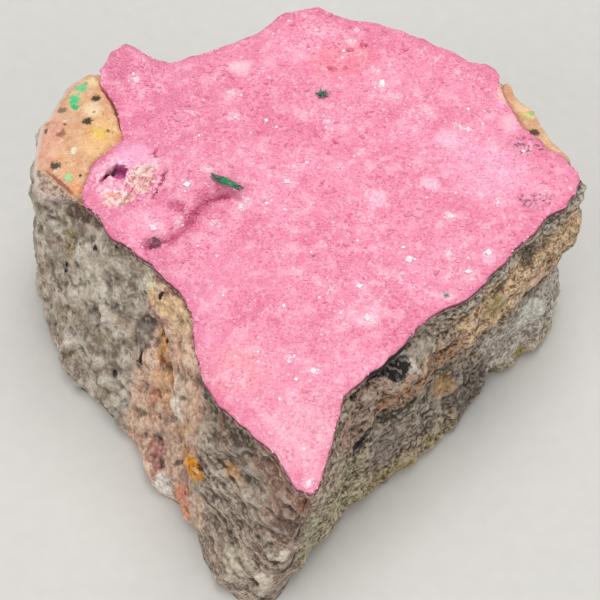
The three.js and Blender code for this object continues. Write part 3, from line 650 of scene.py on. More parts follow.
within_patch = rock.step(along_rib * 0.55 + fine * 0.3 + coarse_grain * 0.15, 0.38, 0.62)
wall_spot = rock.spot(station + wander * 0.14, height + (broad - fine) * 0.05)
wobble = wander * 0.4
colour = rock.painted(colour, wall_patches, wall_spot, wobble, grains=within_patch, dark=0.8,
                      pale=1.16)

# Painted shade darkens the creases, and a painted highlight makes the highest grains pale.
colour = rock.mix(rock.step(crevice, 0.08, 0.44) * 0.8, colour, tone(56, 46, 38))
colour = rock.mix(rock.step(crevice, -0.12, -0.5) * 0.28, colour, tone(226, 218, 204))

# Painted shadow: black patches for the shade in the gaps under the crust's rim and in cracks and
# small pits in the wall. Station, height, half run and half rise.
painted_shadow_black, painted_shadow_strength = (18, 13, 13), 0.97
painted_shadow_holes = [
    (64.3, 0.925, 0.9, 0.036), (65.4, 0.905, 0.7, 0.036), (66.3, 0.865, 0.7, 0.03),
    (41.2, 0.955, 0.2, 0.05), (39.5, 0.975, 0.5, 0.018), (39.9, 0.83, 0.16, 0.012),
    (38.2, 0.62, 0.13, 0.05), (43.0, 0.855, 0.14, 0.018), (43.9, 0.935, 0.07, 0.02),
    (44.5, 0.78, 0.12, 0.018), (44.9, 0.775, 0.1, 0.014), (43.4, 0.52, 0.14, 0.055),
    (40.9, 0.55, 0.1, 0.014), (42.1, 0.30, 0.12, 0.02), (63.4, 0.55, 0.4, 0.018),
]
colour = rock.painted(colour, [hole + (painted_shadow_black, painted_shadow_strength) for hole in painted_shadow_holes],
                      wall_spot, wobble)

# The worn rim of the bare lump is chalky.
chalk = rock.mix(fine, chalk_dark, chalk_pale)
colour = rock.mix(zone(rock, along, up, lump_first, lump_last, 0.97, 1.2) * 0.8, colour, chalk)

# Single grains are a little darker or paler than their neighbours.
shaken = rock.node("ShaderNodeVectorMath", {"operation": "MULTIPLY_ADD"},
                   {0: rock.noise(1.3, 3.0, output=1), 1: (0.6, 0.6, 0.6), 2: rock.place})
grain_colour = rock.cells(grain_size, "Color", shaken)
each_grain = rock.node("ShaderNodeSeparateColor", {}, {0: grain_colour})
colour = rock.mix(rock.step(each_grain, 0.6, 0.9) * 0.22, colour, tone(232, 222, 208))
colour = rock.mix(rock.step(each_grain, 0.4, 0.1) * 0.22, colour, tone(66, 54, 46))
rock.set(Base_Color=colour)
rock.set(Roughness=0.9 - (fine - 0.5) * 0.1)
rough_height = (fine * 0.8 + each_grain * 0.25
                + rock.cells(grain_size, "Distance", shaken) * -0.5)
rock.set(Normal=rock.bump(rough_height, 0.0003))

# Bare rock on top: satin tan, stained orange and yellow, with spots of green and brown ore.
bare = Finish("Bare rock", Specular_IOR_Level=0.3)
station, height = wall_map(bare)
fine = bare.noise(0.5, 4.0, rough=0.65)
top_wander = (bare.noise(1.3, 3.0) - 0.5) * 1.1
top_spot = bare.spot(bare.x + top_wander * 0.6, bare.y + (fine - 0.5) * 0.5)
spot_wobble = (bare.noise(0.55, 4.0, rough=0.65) - 0.5) * 1.9
sanded = bare.step(bare.noise(0.32, 4.0, rough=0.7) * 0.6 + bare.noise(1.4, 4.0) * 0.4, 0.36, 0.62)
colour = bare.mix(bare.step(bare.noise(3.4, 3.0), 0.35, 0.65), tone(210, 146, 104),
                  tone(228, 172, 126))
# Its stains and spots: X, Y, half widths, colour and strength. The broad stains lie under the
# sanded grain of the stone, the small spots of ore on top of it.
smallest_stain = 1.3
top_patches = [
    (-42.0, 22.0, 3.0, 8.0, (228, 156, 136), 0.8), (-33.4, 23.0, 4.2, 4.6, (236, 176, 92), 0.85),
    (-33.9, 22.6, 1.6, 1.6, (240, 204, 76), 0.95), (-34.4, 19.4, 3.2, 2.2, (246, 188, 124), 0.8),
    (-35.4, 28.2, 2.2, 2.4, (246, 218, 178), 0.9), (-36.0, 34.8, 1.6, 1.6, (246, 218, 160), 0.9),
    (-34.2, 33.2, 1.3, 2.2, (240, 164, 116), 0.8), (-38.7, 31.6, 1.6, 2.8, (232, 214, 160), 0.7),
    (-39.4, 26.4, 2.4, 1.6, (226, 176, 152), 0.7), (-37.0, 11.8, 2.0, 1.2, (240, 148, 84), 0.9),
    (-39.4, 17.6, 2.2, 2.2, (232, 164, 112), 0.6), (-37.8, 19.1, 0.6, 0.9, (250, 230, 184), 1.0),
    (-37.9, 33.4, 1.25, 1.2, (112, 196, 138), 1.0), (-38.9, 30.3, 1.1, 1.9, (88, 190, 130), 1.0),
    (-38.4, 28.7, 0.8, 0.7, (58, 176, 112), 0.95), (-38.3, 13.9, 0.8, 0.8, (146, 208, 148), 1.0),
    (-43.3, 25.8, 0.5, 0.5, (96, 140, 92), 0.9), (-37.2, 34.5, 0.5, 0.4, (90, 176, 112), 0.9),
    (-35.2, 30.7, 1.0, 0.8, (56, 42, 28), 0.95), (-36.1, 25.3, 1.1, 0.95, (46, 44, 28), 0.95),
    (-39.9, 24.8, 0.35, 0.3, (84, 60, 44), 0.9), (-40.8, 22.6, 0.6, 0.55, (156, 106, 88), 0.9),
    (-40.1, 22.8, 0.8, 0.9, (140, 96, 78), 0.85), (-40.8, 16.3, 1.1, 1.1, (66, 60, 56), 0.95),
    (-40.6, 15.2, 0.45, 0.35, (226, 206, 180), 0.95), (-32.5, 23.3, 0.4, 0.45, (130, 112, 40), 0.9),
    (-36.3, 14.1, 0.3, 0.35, (40, 26, 20), 0.95), (-43.2, 24.0, 0.35, 0.6, (80, 66, 54), 0.9),
    (-35.3, 27.4, 0.35, 0.35, (140, 116, 72), 0.85), (-40.9, 28.4, 1.0, 0.8, (104, 86, 78), 0.8),
    (-43.4, 27.2, 0.6, 0.9, (228, 228, 210), 0.9), (39.2, 26.9, 1.2, 0.7, (196, 210, 130), 0.9),
    (39.5, 27.3, 0.5, 0.4, (122, 184, 106), 0.9), (39.7, 23.2, 1.0, 0.9, (74, 58, 44), 0.95),
    (43.2, 19.5, 1.6, 1.2, (240, 176, 142), 0.8), (38.2, 28.4, 1.4, 1.6, (246, 214, 160), 0.7),
    (41.6, 22.2, 1.6, 1.6, (232, 192, 152), 0.6),
]
stains = [patch for patch in top_patches if patch[2] >= smallest_stain]
spots = [patch for patch in top_patches if patch[2] < smallest_stain]
colour = bare.painted(colour, stains, top_spot, top_wander * 0.5, 0.35)
colour = bare.mix(sanded * 0.34, bare.mix(0.2, colour, tone(120, 66, 38)), tone(250, 226, 196))
crumbs = bare.noise(0.9, 4.0, rough=0.65)
colour = bare.mix(bare.step(crumbs, 0.62, 0.68) * 0.6, colour, tone(252, 224, 190))
colour = bare.mix(bare.step(crumbs, 0.37, 0.32) * 0.6, colour, tone(132, 92, 66))
colour = bare.painted(colour, spots, top_spot, spot_wobble, 0.55, fine, 0.75, 1.2)

# A red-brown line crosses its front corner, and the corner itself is grey. Its worn rim is chalky.
slant = bare.y + bare.x * 0.91 + top_wander * 0.5
line_spot = bare.spot(bare.x, slant + (fine - 0.5) * 0.8)
colour = bare.mix(bare.step(slant, -23.3, -24.1) * 0.85, colour,
                  bare.mix(bare.step(crumbs * 0.5 + fine * 0.5, 0.38, 0.6), tone(86, 70, 64),
                           tone(196, 176, 164)))
red_line = bare.blot(line_spot, (-39.6, -23.1), (3.6, 0.6), spot_wobble * 0.4, 0.85, 0.4)
colour = bare.mix(red_line, colour, bare.mix(fine, tone(84, 34, 30), tone(168, 96, 76)))
along = station + top_wander * 0.5
just_inside = bare.step(height + top_wander * 0.004, 1.014, 1.004)
by_the_rim = just_inside * zone(bare, along, height, lump_first, lump_last, 0.5, 1.3)
colour = bare.mix(by_the_rim * 0.75, colour, bare.mix(fine, chalk_dark, chalk_pale))
bare.set(Base_Color=colour)
bare.set(Roughness=0.52 - (fine - 0.5) * 0.1)
bare.set(Normal=bare.bump(fine * 0.8 + sanded * 0.3, 0.0002))
for finish in (rock, bare):
    host_rock.data.materials.append(finish.material)
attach(host_rock, "root")
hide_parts("matrix_rock")

# ---------------------------------------------------------------------------------------------
# Calcite crust. Pink cobalt-bearing calcite, one to two millimetres thick, grown over the rock's
# upper side. Its face is of crystal corners grown together, its edge broken with the rock.

# Swellings: X, Y, radius and height. The groove runs in from the left front.
rind_swells = [
    (-30.1, 39.0, 4.0, 1.5), (-27.8, 34.6, 3.0, 0.7), (-32.0, 31.4, 2.6, 0.6),
    (-21.5, 15.7, 3.0, 1.0), (-18.4, 12.4, 2.6, 1.1), (-15.2, 16.9, 2.4, 0.7),
    (-20.8, 8.4, 2.6, 1.0), (-24.6, 5.0, 2.8, 0.9), (-29.0, 4.2, 2.6, 0.6), (-25.9, 17.0, 2.4, 0.7),
    (-14.8, 12.6, 1.8, 0.8), (3.2, 46.5, 4.5, 0.9), (20.0, 38.0, 6.0, 0.6), (-2.0, -37.0, 3.5, 0.4),
    (25.0, 8.0, 9.0, 0.5), (38.0, 8.0, 4.0, -0.5), (7.0, 39.5, 4.5, -0.6), (-26.5, 11.8, 3.2, -0.8),
    (-12.0, -2.0, 8.0, -0.4), (12.0, -12.0, 7.0, 0.4),
]
groove = [
    (-12.6, 10.0), (-15.6, 8.8), (-16.9, 6.3), (-18.2, 3.9), (-21.0, 1.0), (-24.2, 0.2),
]
groove_width, groove_depth = 1.2, 1.7
# Short cracks and creases: their line, depth and half width.
creases = [
    ([(-22.2, 13.6), (-22.9, 11.6), (-24.0, 9.0)], 0.9, 0.3),
    ([(-23.7, 18.8), (-24.3, 17.8), (-23.8, 16.6)], 0.6, 0.22),
    ([(-32.7, 12.5), (-31.8, 13.6), (-31.4, 14.6), (-30.4, 15.2)], 1.4, 0.3),
    ([(-14.6, 8.2), (-13.2, 9.6), (-11.8, 9.4)], 0.6, 0.4),
]
pits = [  # X, Y, half width across and along, depth
    (-29.9, 13.9, 1.2, 1.0, 1.4), (5.6, 37.1, 0.9, 0.6, 0.5), (8.8, 41.5, 0.6, 0.5, 0.45),
    (11.3, 42.5, 0.7, 0.5, 0.45), (7.9, 37.3, 0.5, 0.4, 0.4), (-19.8, 7.3, 1.6, 1.3, 0.5),
    (-23.4, 0.5, 0.6, 0.5, 0.5),
]


thirds_of_a_turn = (0.0, 2.0944, 4.1888)


def crystal_corners(x, y, spacing, slope, seed):
    """Corners of crystals grown together. Each place of a jittered lattice holds a three-sided
    pyramid, turned and leaned at random, and the surface is the highest of the nine nearest."""
    across, along = np.floor(x / spacing), np.floor(y / spacing)
    highest = np.full(np.shape(x), -1e9)
    for over in (-1, 0, 1):
        for back in (-1, 0, 1):
            i, j = across + over, along + back
            at_x = x - (i + 0.5 + 0.8 * (draw(seed, i, j) - 0.5)) * spacing
            at_y = y - (j + 0.5 + 0.8 * (draw(seed + 1, i, j) - 0.5)) * spacing
            turn = 2.0 * np.pi * draw(seed + 2, i, j)
            lean = turn * 1.7
            tilt = slope * 0.9 * draw(seed + 3, i, j)
            fall = np.max([slope * (np.cos(turn + k) * at_x + np.sin(turn + k) * at_y)
                           for k in thirds_of_a_turn], axis=0)
            fall = fall + tilt * (np.cos(lean) * at_x + np.sin(lean) * at_y)
            highest = np.maximum(highest, spacing * 0.35 * draw(seed + 4, i, j) - fall)
    return highest


def hollowness(x, y):
    """How deep a place lies in the groove, a crease or a pit, from 0 to 1."""
    deep = bell(line_distance(x, y, groove), groove_width * 0.75)
    for line, depth, half_width in creases:
        deep = np.maximum(deep, bell(line_distance(x, y, line), half_width * 1.1))
    for at_x, at_y, half_x, half_y, depth in pits:
        deep = np.maximum(deep, bell(np.hypot((x - at_x) / half_x, (y - at_y) / half_y), 0.95))
    return deep


def crust_top(x, y):
    """The crust's surface: the level, with swellings, waves, knobs, the groove, pits, creases and
    broken steps beside the pit, thinner towards its broken edge."""
    edge = line_distance(x, y, crust_outline, closed=True)
    swells = sum(rise * bell(np.hypot(x - at_x, y - at_y), radius)
                 for at_x, at_y, radius, rise in rind_swells)
    waves = (0.22 * np.sin(0.31 * x + 0.6) * np.sin(0.27 * y + 1.1)
             + 0.15 * np.sin(0.62 * x - 0.35 * y))
    hollow = groove_depth * bell(line_distance(x, y, groove), groove_width)
    relief = (swells + waves) * smooth(0.0, 2.5, edge) - hollow * smooth(0.0, 2.0, edge)
    relief = relief - 0.4 * np.exp(-edge / 0.8)
    hills = 0.24 * grain(x, y, 0.0 * x, 5.3, 81) + 0.12 * grain(x, y, 0.0 * x, 2.4, 82)
    by_the_groove = bell(np.hypot(x + 20.0, y - 7.5), 8.0)
    rough_side = 0.1 + 0.14 * smooth(-4.0, -18.0, x)
    knobs = (rough_side + 0.6 * by_the_groove) * np.abs(grain(x, y, 0.0 * x, 2.7, 83))
    broken = 0.5 * bell(np.hypot(x + 27.0, y - 11.3), 4.2) * np.round(
        1.6 * grain(x, y, 0.0 * x, 1.3, 84))
    relief = relief + (hills + knobs + broken) * smooth(0.0, 2.0, edge)
    for line, depth, half_width in creases:
        relief = relief - depth * bell(line_distance(x, y, line), half_width)
    for at_x, at_y, half_x, half_y, depth in pits:
        away = np.hypot((x - at_x) / half_x, (y - at_y) / half_y)
        relief = relief - depth * smooth(1.25, 0.6, away)
    return level_at(x, y) + relief


def crust_skin(x, y):
    """The crust with the tips of the small crystals it is made of, which fade out at its edge."""
    tips = 0.18 * crystal_corners(x, y, 1.05, 0.5, 91)
    edge = line_distance(x, y, crust_outline, closed=True)
    return crust_top(x, y) + tips * smooth(-0.3, 1.2, edge)


def crust_underside(x, y):
    """Where the crust ends below: sunk a little into its seat on the rock, so no gap shows."""
    return level_at(x, y) - crust_depth - 0.12


def square_to_disc(across, along):
    """Even squares to even rings: the larger of the two numbers is the ring, the smaller gives the
    turn within its quarter."""
    flat = np.abs(across) >= np.abs(along)
    ring = np.where(flat, across, along)
    safe = np.where(ring == 0.0, 1.0, ring)
    turn = np.where(flat, np.pi / 4 * along / safe, np.pi / 2 - np.pi / 4 * across / safe)
    turn = np.where(ring < 0.0, turn + np.pi, turn)
    return np.abs(ring), np.mod(turn, 2.0 * np.pi)


# The grid of squares is drawn out to the crust's outline, round a point near its middle.
cells_across = 284
crust_middle = np.array([-6.0, 6.0])
outline_points = np.array(crust_outline)
start = int(np.argmin(np.abs(np.arctan2(*(outline_points - crust_middle)[:, ::-1].T))))
outline_points = np.roll(outline_points, -start, axis=0)
outline_points = np.concatenate([outline_points, outline_points[:1]])
outline_run = np.concatenate([[0.0], np.cumsum(np.linalg.norm(np.diff(outline_points, axis=0),
                                                             axis=1))])


def outline_at(turn):
    """The crust's ragged outline at a share of its length, given as a turn."""
    along = turn / (2.0 * np.pi) * outline_run[-1]
    x, y = (np.interp(along, outline_run, outline_points[:, k]) for k in (0, 1))
    ahead, behind = (np.mod(along + s, outline_run[-1]) for s in (0.6, -0.6))
    run_x, run_y = (np.interp(ahead, outline_run, outline_points[:, k])
                    - np.interp(behind, outline_run, outline_points[:, k]) for k in (0, 1))
    length = np.hypot(run_x, run_y)
    stray = ragged(x, y)
    return x + run_y / length * stray, y - run_x / length * stray


side = np.linspace(-1.0, 1.0, cells_across + 1)
ring, turn = square_to_disc(*np.meshgrid(side, side))
reach_x, reach_y = outline_at(turn)
crust_x = crust_middle[0] + ring * (reach_x - crust_middle[0])
crust_y = crust_middle[1] + ring * (reach_y - crust_middle[1])
edge_distance = line_distance(crust_x, crust_y, crust_outline, closed=True)
crust_z = crust_skin(crust_x, crust_y)

n = cells_across + 1
index = np.arange(n * n).reshape(n, n)
border = np.concatenate([index[0, :-1], index[:-1, -1], index[-1, :0:-1], index[:0:-1, 0]])
edge_x, edge_y, edge_z = (part.ravel()[border] for part in (crust_x, crust_y, crust_z))
under = crust_underside(edge_x, edge_y)

# A skirt goes from the rim down to the underside and in under the crust.
skirt_falls = np.array([0.12, 0.3, 0.5, 0.72, 1.0])
skirt = []
for fall in skirt_falls:
    z = edge_z + (under - edge_z) * fall
    out = 0.16 * grain(edge_x, edge_y, z, 0.9, 95) * math.sin(math.pi * fall)
    away = np.hypot(edge_x - crust_middle[0], edge_y - crust_middle[1])
    skirt.append(np.stack([edge_x + (edge_x - crust_middle[0]) / away * out,
                           edge_y + (edge_y - crust_middle[1]) / away * out, z], -1))
for share in (0.9, 0.5):
    x = crust_middle[0] + share * (edge_x - crust_middle[0])
    y = crust_middle[1] + share * (edge_y - crust_middle[1])
    skirt.append(np.stack([x, y, crust_underside(x, y)], -1))
round_count = len(border)
skirt_points = np.concatenate(skirt)
low_middle = [[*crust_middle, crust_underside(*crust_middle)]]
points = np.concatenate([np.stack([crust_x, crust_y, crust_z], -1).reshape(-1, 3), skirt_points,
                         low_middle])
top_quads = np.stack([index[:-1, :-1], index[:-1, 1:], index[1:, 1:], index[1:, :-1]],
                     -1).reshape(-1, 4)
hoops = [border] + [n * n + k * round_count + np.arange(round_count) for k in range(len(skirt))]
hoops = np.array(hoops)
ahead = np.roll(hoops, -1, axis=1)
skirt_quads = np.stack([hoops[:-1], hoops[1:], ahead[1:], ahead[:-1]], -1).reshape(-1, 4)
low_fan = np.stack([np.full(round_count, len(points) - 1), ahead[-1], hoops[-1]], -1)
crust = mesh_piece("calcite_crust", points, top_quads, skirt_quads, low_fan)

# The finish reads how hollow each place is, and how far down the broken edge it lies.
top_count = n * n
deep = np.zeros(len(points))
deep[:top_count] = hollowness(crust_x, crust_y).ravel()
mark(crust, "hollow", deep)
fall_mark = np.ones(len(points))
fall_mark[:top_count] = 0.2 * np.exp(-edge_distance / 0.2).ravel()
fall_mark[top_count:top_count + len(skirt_falls) * round_count] = np.repeat(
    0.2 + 0.8 * skirt_falls, round_count)
mark(crust, "fall", fall_mark)


def pink_of(finish, wander):
    """The crust's pink, mottled, and tinted over its regions: lilac, coral, salmon and pale. The
    broad lilac one at the right is a painted sheen.
    """
    cloudy = finish.noise(9.0, 2.0)
    pink = finish.mix(finish.step(cloudy, 0.3, 0.7), tone(215, 112, 145), tone(226, 134, 164))
    pink = finish.mix(finish.step(finish.x + wander * 2.0, -4.0, -24.0) * 0.55, pink,
                      tone(212, 116, 150))
    regions = [
        # The first region, lilac at the right, is a painted sheen; the others are tints.
        (31.0, 15.5, 9.0, 8.0, (230, 158, 188), 0.6),
        (-9.0, -22.8, 6.5, 6.5, (228, 146, 154), 0.55),
        (8.0, 38.5, 8.0, 6.0, (236, 128, 140), 0.45), (-27.5, 17.0, 4.4, 4.0, (238, 172, 206), 0.7),
        (-28.5, 28.0, 3.0, 3.0, (236, 120, 158), 0.35),
        (-10.6, 37.1, 2.6, 2.2, (252, 204, 212), 0.7),
        (24.7, 21.0, 3.0, 2.2, (250, 200, 220), 0.5), (21.3, 11.8, 2.4, 2.0, (252, 204, 220), 0.5),
        (12.5, 8.8, 2.6, 2.0, (250, 198, 214), 0.5), (1.0, -33.0, 9.0, 9.0, (226, 156, 172), 0.65),
        (22.8, -9.6, 1.2, 0.9, (250, 214, 224), 0.5), (35.5, 24.5, 2.4, 3.4, (250, 190, 204), 0.6),
        (35.0, 31.5, 1.6, 2.6, (246, 186, 170), 0.7), (-31.0, 9.6, 3.0, 2.0, (240, 158, 190), 0.5),
        (-24.5, 3.4, 6.0, 4.0, (246, 160, 188), 0.6), (10.5, -14.5, 2.6, 1.8, (252, 200, 216), 0.6),
    ]
    spot = finish.spot(finish.x + wander, finish.y + (cloudy - 0.5) * 2.0)
    pink = finish.painted(pink, regions, spot, wander * 0.4, 0.3)
    blotches = finish.noise(2.3, 1.5)
    pink = finish.mix(finish.step(blotches, 0.52, 0.7) * 0.3, pink, tone(248, 192, 208))
    pink = finish.mix(finish.step(blotches, 0.46, 0.3) * 0.2, pink, tone(222, 116, 150))
    flecks = finish.step(finish.noise(0.8, 4.0, rough=0.6), 0.52, 0.62) * finish.step(
        finish.noise(4.5, 2.0), 0.5, 0.62)
    return finish.mix(flecks * 0.26, pink, tone(250, 214, 222))


def marked(finish, pink):
    """The pink with the broken cream place beside the pit, pale dry places round it, painted shade
    that darkens the groove, the creases and the pits, and a few dark grains."""
    ragged_edge = (finish.noise(1.1, 4.0, rough=0.6) - 0.5) * 1.6
    spot = finish.spot(finish.x + ragged_edge * 0.3, finish.y)
    rubble = finish.blot(spot, (-26.2, 12.8), (2.6, 3.0), ragged_edge)
    rubble = rubble.most(finish.blot(spot, (-29.6, 8.8), (3.0, 1.6), ragged_edge))
    chips = finish.noise(0.75, 4.0, rough=0.65)
    cream = finish.mix(finish.step(chips, 0.38, 0.6), tone(198, 164, 120), tone(246, 218, 198))
    slanted = finish.node("ShaderNodeMapping", {"vector_type": "TEXTURE"},
                          {0: finish.place, "Rotation": (0.0, 0.0, 0.85),
                           "Scale": (2.2, 0.6, 1.0)})
    streaks = finish.step(finish.noise(1.1, 4.0, slanted, 0.6), 0.5, 0.58)
    cream = finish.mix(streaks * 0.85, cream, tone(120, 100, 62))
    pink = finish.mix(rubble * finish.step(chips, 0.32, 0.5) * 0.75, pink, cream)
    salmon = finish.blot(spot, (-31.0, 9.6), (0.9, 0.6), ragged_edge * 0.5, 0.8)
    pink = finish.mix(salmon, pink, tone(240, 158, 126))
    pale_ring = finish.blot(spot, (-31.0, 12.6), (3.4, 4.4), ragged_edge)
    pink = finish.mix(pale_ring * finish.step(chips, 0.42, 0.6) * 0.6, pink, tone(252, 214, 226))
    dry = finish.blot(spot, (-25.6, 12.6), (5.2, 4.8), ragged_edge, 0.45, 0.4)
    pink = finish.mix(dry * finish.step(chips, 0.42, 0.56), pink, tone(252, 216, 222))
    # Painted shade: the hollower a place, the deeper and darker its magenta.
    deep = finish.number("hollow")
    pink = finish.mix(finish.step(deep, 0.2, 0.85) * 0.68, pink, tone(176, 48, 98))
    dark = finish.blot(spot, (38.2, 19.6), (3.4, 1.9), ragged_edge)
    dark = dark.most(finish.blot(spot, (38.4, 8.4), (3.2, 1.6), ragged_edge))
    dots = finish.step(finish.noise(0.7, 3.0, rough=0.6), 0.5, 0.58)
    pink = finish.mix(dark * dots * 0.8, pink, tone(104, 62, 84))
    grey = finish.blot(spot, (-23.4, 0.9), (1.3, 0.8), ragged_edge)
    pink = finish.mix(grey * finish.step(chips, 0.36, 0.5) * 0.85, pink, tone(92, 78, 90))
    single = finish.blot(spot, (2.1, -2.5), (0.3, 0.3), chips * 0.2, 0.9)
    return finish.mix(single, pink, tone(150, 0, 50))


crust_finish = Finish("Cobaltoan calcite crust", IOR=1.6)
wander = (crust_finish.noise(2.0, 3.0) - 0.5) * 1.6
colour = pink_of(crust_finish, wander)
sugar = crust_finish.noise(0.6, 3.0)
colour = crust_finish.mix(crust_finish.step(sugar, 0.56, 0.72) * 0.25, colour, tone(254, 214, 226))
colour = crust_finish.mix(crust_finish.step(sugar, 0.42, 0.28) * 0.2, colour, tone(222, 104, 146))
colour = marked(crust_finish, colour)

# The pit is deep magenta inside, its slit painted black as painted shadow, and small coral
# hollows lie near the back rim.
rubble_noise = (crust_finish.noise(1.1, 3.0) - 0.5) * 1.2
spot = crust_finish.spot(crust_finish.x + rubble_noise * 0.3, crust_finish.y)
crust_patches = [
    (-29.8, 14.0, 1.7, 1.5, (186, 48, 128), 0.95), (-29.4, 14.8, 1.3, 0.6, (122, 18, 80), 0.9),
    (5.6, 37.1, 1.1, 0.7, (206, 84, 92), 0.7), (8.9, 41.5, 0.8, 0.6, (204, 90, 96), 0.7),
    (11.3, 42.5, 0.9, 0.6, (200, 86, 92), 0.7), (-12.9, 8.9, 1.6, 0.8, (176, 70, 96), 0.6),
    (-15.2, 14.2, 0.9, 0.9, (250, 224, 222), 0.8),
]
colour = crust_finish.painted(colour, crust_patches, spot, rubble_noise * 0.5)
across_slit = crust_finish.spot(crust_finish.x - crust_finish.y * 0.72, crust_finish.y)
# Painted shadow: the slit is black.
painted_slit_shadow = crust_finish.blot(across_slit, (-41.5, 14.0), (0.6, 1.6), rubble_noise * 0.35, 0.97)
colour = crust_finish.mix(painted_slit_shadow, colour, tone(14, 4, 12))

# Its broken edge shows dark red calcite, darker both for its colour and as painted shade, and
# then rock, but it is pale where it meets the bare lump.
by_lump = crust_finish.blot(spot, (-33.0, 28.0), (5.0, 11.0), rubble_noise * 0.1, 0.75)
fall = crust_finish.number("fall") - by_lump * 0.75
colour = crust_finish.mix(crust_finish.step(fall, 0.07, 0.17) * 0.65, colour, tone(180, 74, 112))
colour = crust_finish.mix(crust_finish.step(fall, 0.2, 0.36), colour, tone(112, 34, 62))
# Painted shadow: black on the broken edge above the undercut's gap.
gap = crust_finish.blot(spot, (13.5, -20.4), (5.5, 4.5), rubble_noise * 0.3)
seat_rock = crust_finish.mix(crust_finish.step(sugar, 0.38, 0.6), tone(72, 58, 50),
                             tone(176, 154, 136))
colour = crust_finish.mix(crust_finish.step(fall, 0.48, 0.62), colour, seat_rock)
colour = crust_finish.mix(gap * crust_finish.step(fall, 0.22, 0.42), colour, tone(16, 10, 10))
crust_finish.set(Base_Color=colour)
crust_finish.set(Roughness=0.42 + (sugar - 0.5) * 0.5 + crust_finish.step(fall, 0.3, 0.5) * 0.5)
tiny = crust_finish.cells(0.42, feature="F1", distance="CHEBYCHEV") * -0.8 + sugar * 0.5
crust_finish.set(Normal=crust_finish.bump(tiny, 0.00005))
crust.data.materials.append(crust_finish.material)
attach(crust, "root")
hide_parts("calcite_rind")

# ---------------------------------------------------------------------------------------------
# Druse. The crust's skin of small calcite crystals, each a lozenge-sided block that stands half out
# of it. Four hundred and fifty are larger, and some two hundred more are white and glassy, their
# white a painted glint.

# The largest of the white crystals, whose white colour is a painted glint.
glints = np.array([
    (-11.5, 31.0), (-10.9, 25.9), (-2.0, 12.2), (-9.7, 7.4), (-8.6, 8.2), (-19.5, 4.4),
    (-23.6, 2.7), (-13.8, 3.8), (-18.5, 11.0), (9.0, 43.2), (14.2, 33.2), (21.6, 27.4),
    (16.8, 29.9), (4.7, 24.6), (26.5, 24.0), (28.2, 23.1), (6.6, 15.5), (23.9, 5.0), (23.8, -2.1),
    (17.2, -3.1), (26.4, -5.3), (30.0, -1.8), (32.0, 8.0), (5.0, -8.5), (9.2, -8.1), (10.4, -13.9),
    (-1.5, -20.6), (2.1, -23.1), (1.4, -41.2), (-15.9, 14.4), (-28.4, 33.4),
])


edge_angle = math.radians(101.9)  # at which calcite's edges meet


def turned(count, source, spread):
    """Random turns, as three-by-three matrices: a full spin about the upright, then a lean to any
    side by a random angle of the given spread. Written from unit vectors of four numbers."""
    spin, side = source.uniform(0.0, np.pi, (2, count)) * np.array([[1.0], [2.0]])
    lean = 0.5 * np.minimum(np.abs(source.normal(0.0, spread, count)), np.pi)
    w, z = np.cos(lean) * np.cos(spin), np.cos(lean) * np.sin(spin)
    x = np.sin(lean) * np.cos(side + spin)
    y = np.sin(lean) * np.sin(side + spin)
    return np.stack([
        np.stack([1 - 2 * (y * y + z * z), 2 * (x * y - z * w), 2 * (x * z + y * w)], -1),
        np.stack([2 * (x * y + z * w), 1 - 2 * (x * x + z * z), 2 * (y * z - x * w)], -1),
        np.stack([2 * (x * z - y * w), 2 * (y * z + x * w), 1 - 2 * (x * x + y * y)], -1),
    ], 1)


def lozenge_blocks(name, places, sizes, turns, tones):
    """Calcite blocks: eight corners, the sums of three equal edges that meet at 101.9 degrees. Two
    of the edges lie level, so that a block with no lean has a level face on top."""
    lean, reach = math.cos(edge_angle), math.sin(edge_angle)
    level = (lean - lean ** 2) / reach
    edges = np.array([[1.0, 0.0, 0.0], [lean, reach, 0.0],
                      [lean, level, math.sqrt(1.0 - lean ** 2 - level ** 2)]])
    signs = np.array([[i, j, k] for k in (-0.5, 0.5) for j in (-0.5, 0.5) for i in (-0.5, 0.5)])
    block = signs @ edges
    corners = np.einsum("nij,kj->nki", turns, block) * sizes[:, None, None] + places[:, None, :]
    sides = np.array([[0, 2, 3, 1], [4, 5, 7, 6], [0, 1, 5, 4], [2, 6, 7, 3], [0, 4, 6, 2],
                      [1, 3, 7, 5]])
    faces = (np.arange(len(places))[:, None, None] * 8 + sides).reshape(-1, 4)
    piece = mesh_piece(name, corners.reshape(-1, 3), faces, smooth_faces=False)
    mark(piece, "tone", np.repeat(tones, 8))
    mark(piece, "hollow", np.repeat(hollowness(places[:, 0], places[:, 1]), 8))
    from_glint = np.hypot(*(places[:, None, :2] - glints).transpose(2, 0, 1)).min(axis=1)
    mark(piece, "painted_glint_halo", np.repeat(bell(from_glint, 1.0), 8))
    return piece


def grown(name, x, y, sizes, buried, spread, source):
    """Blocks at places on the crust, sunk in it by a share of their size and turned at random."""
    places = np.stack([x, y, crust_skin(x, y) - buried * sizes], -1)
    return lozenge_blocks(name, places, sizes, turned(len(x), source, spread),
                          source.random(len(x)))


pit_clearing, pit_clearing_radius = (-30.6, 13.9), 2.1
slit_line, slit_clearance = [(-32.6, 12.6), (-31.0, 15.0)], 0.8


def scattered(count, source, least_edge):
    """Random places on the crust, off its rim, the large pit and the slit in it."""
    x = source.uniform(-46.0, 46.0, count * 3)
    y = source.uniform(-44.0, 52.0, count * 3)
    clear = within(x, y, crust_outline)
    clear &= line_distance(x, y, crust_outline, closed=True) > least_edge
    clear &= np.hypot(x - pit_clearing[0], y - pit_clearing[1]) > pit_clearing_radius
    clear &= line_distance(x, y, slit_line) > slit_clearance
    return x[clear][:count], y[clear][:count]


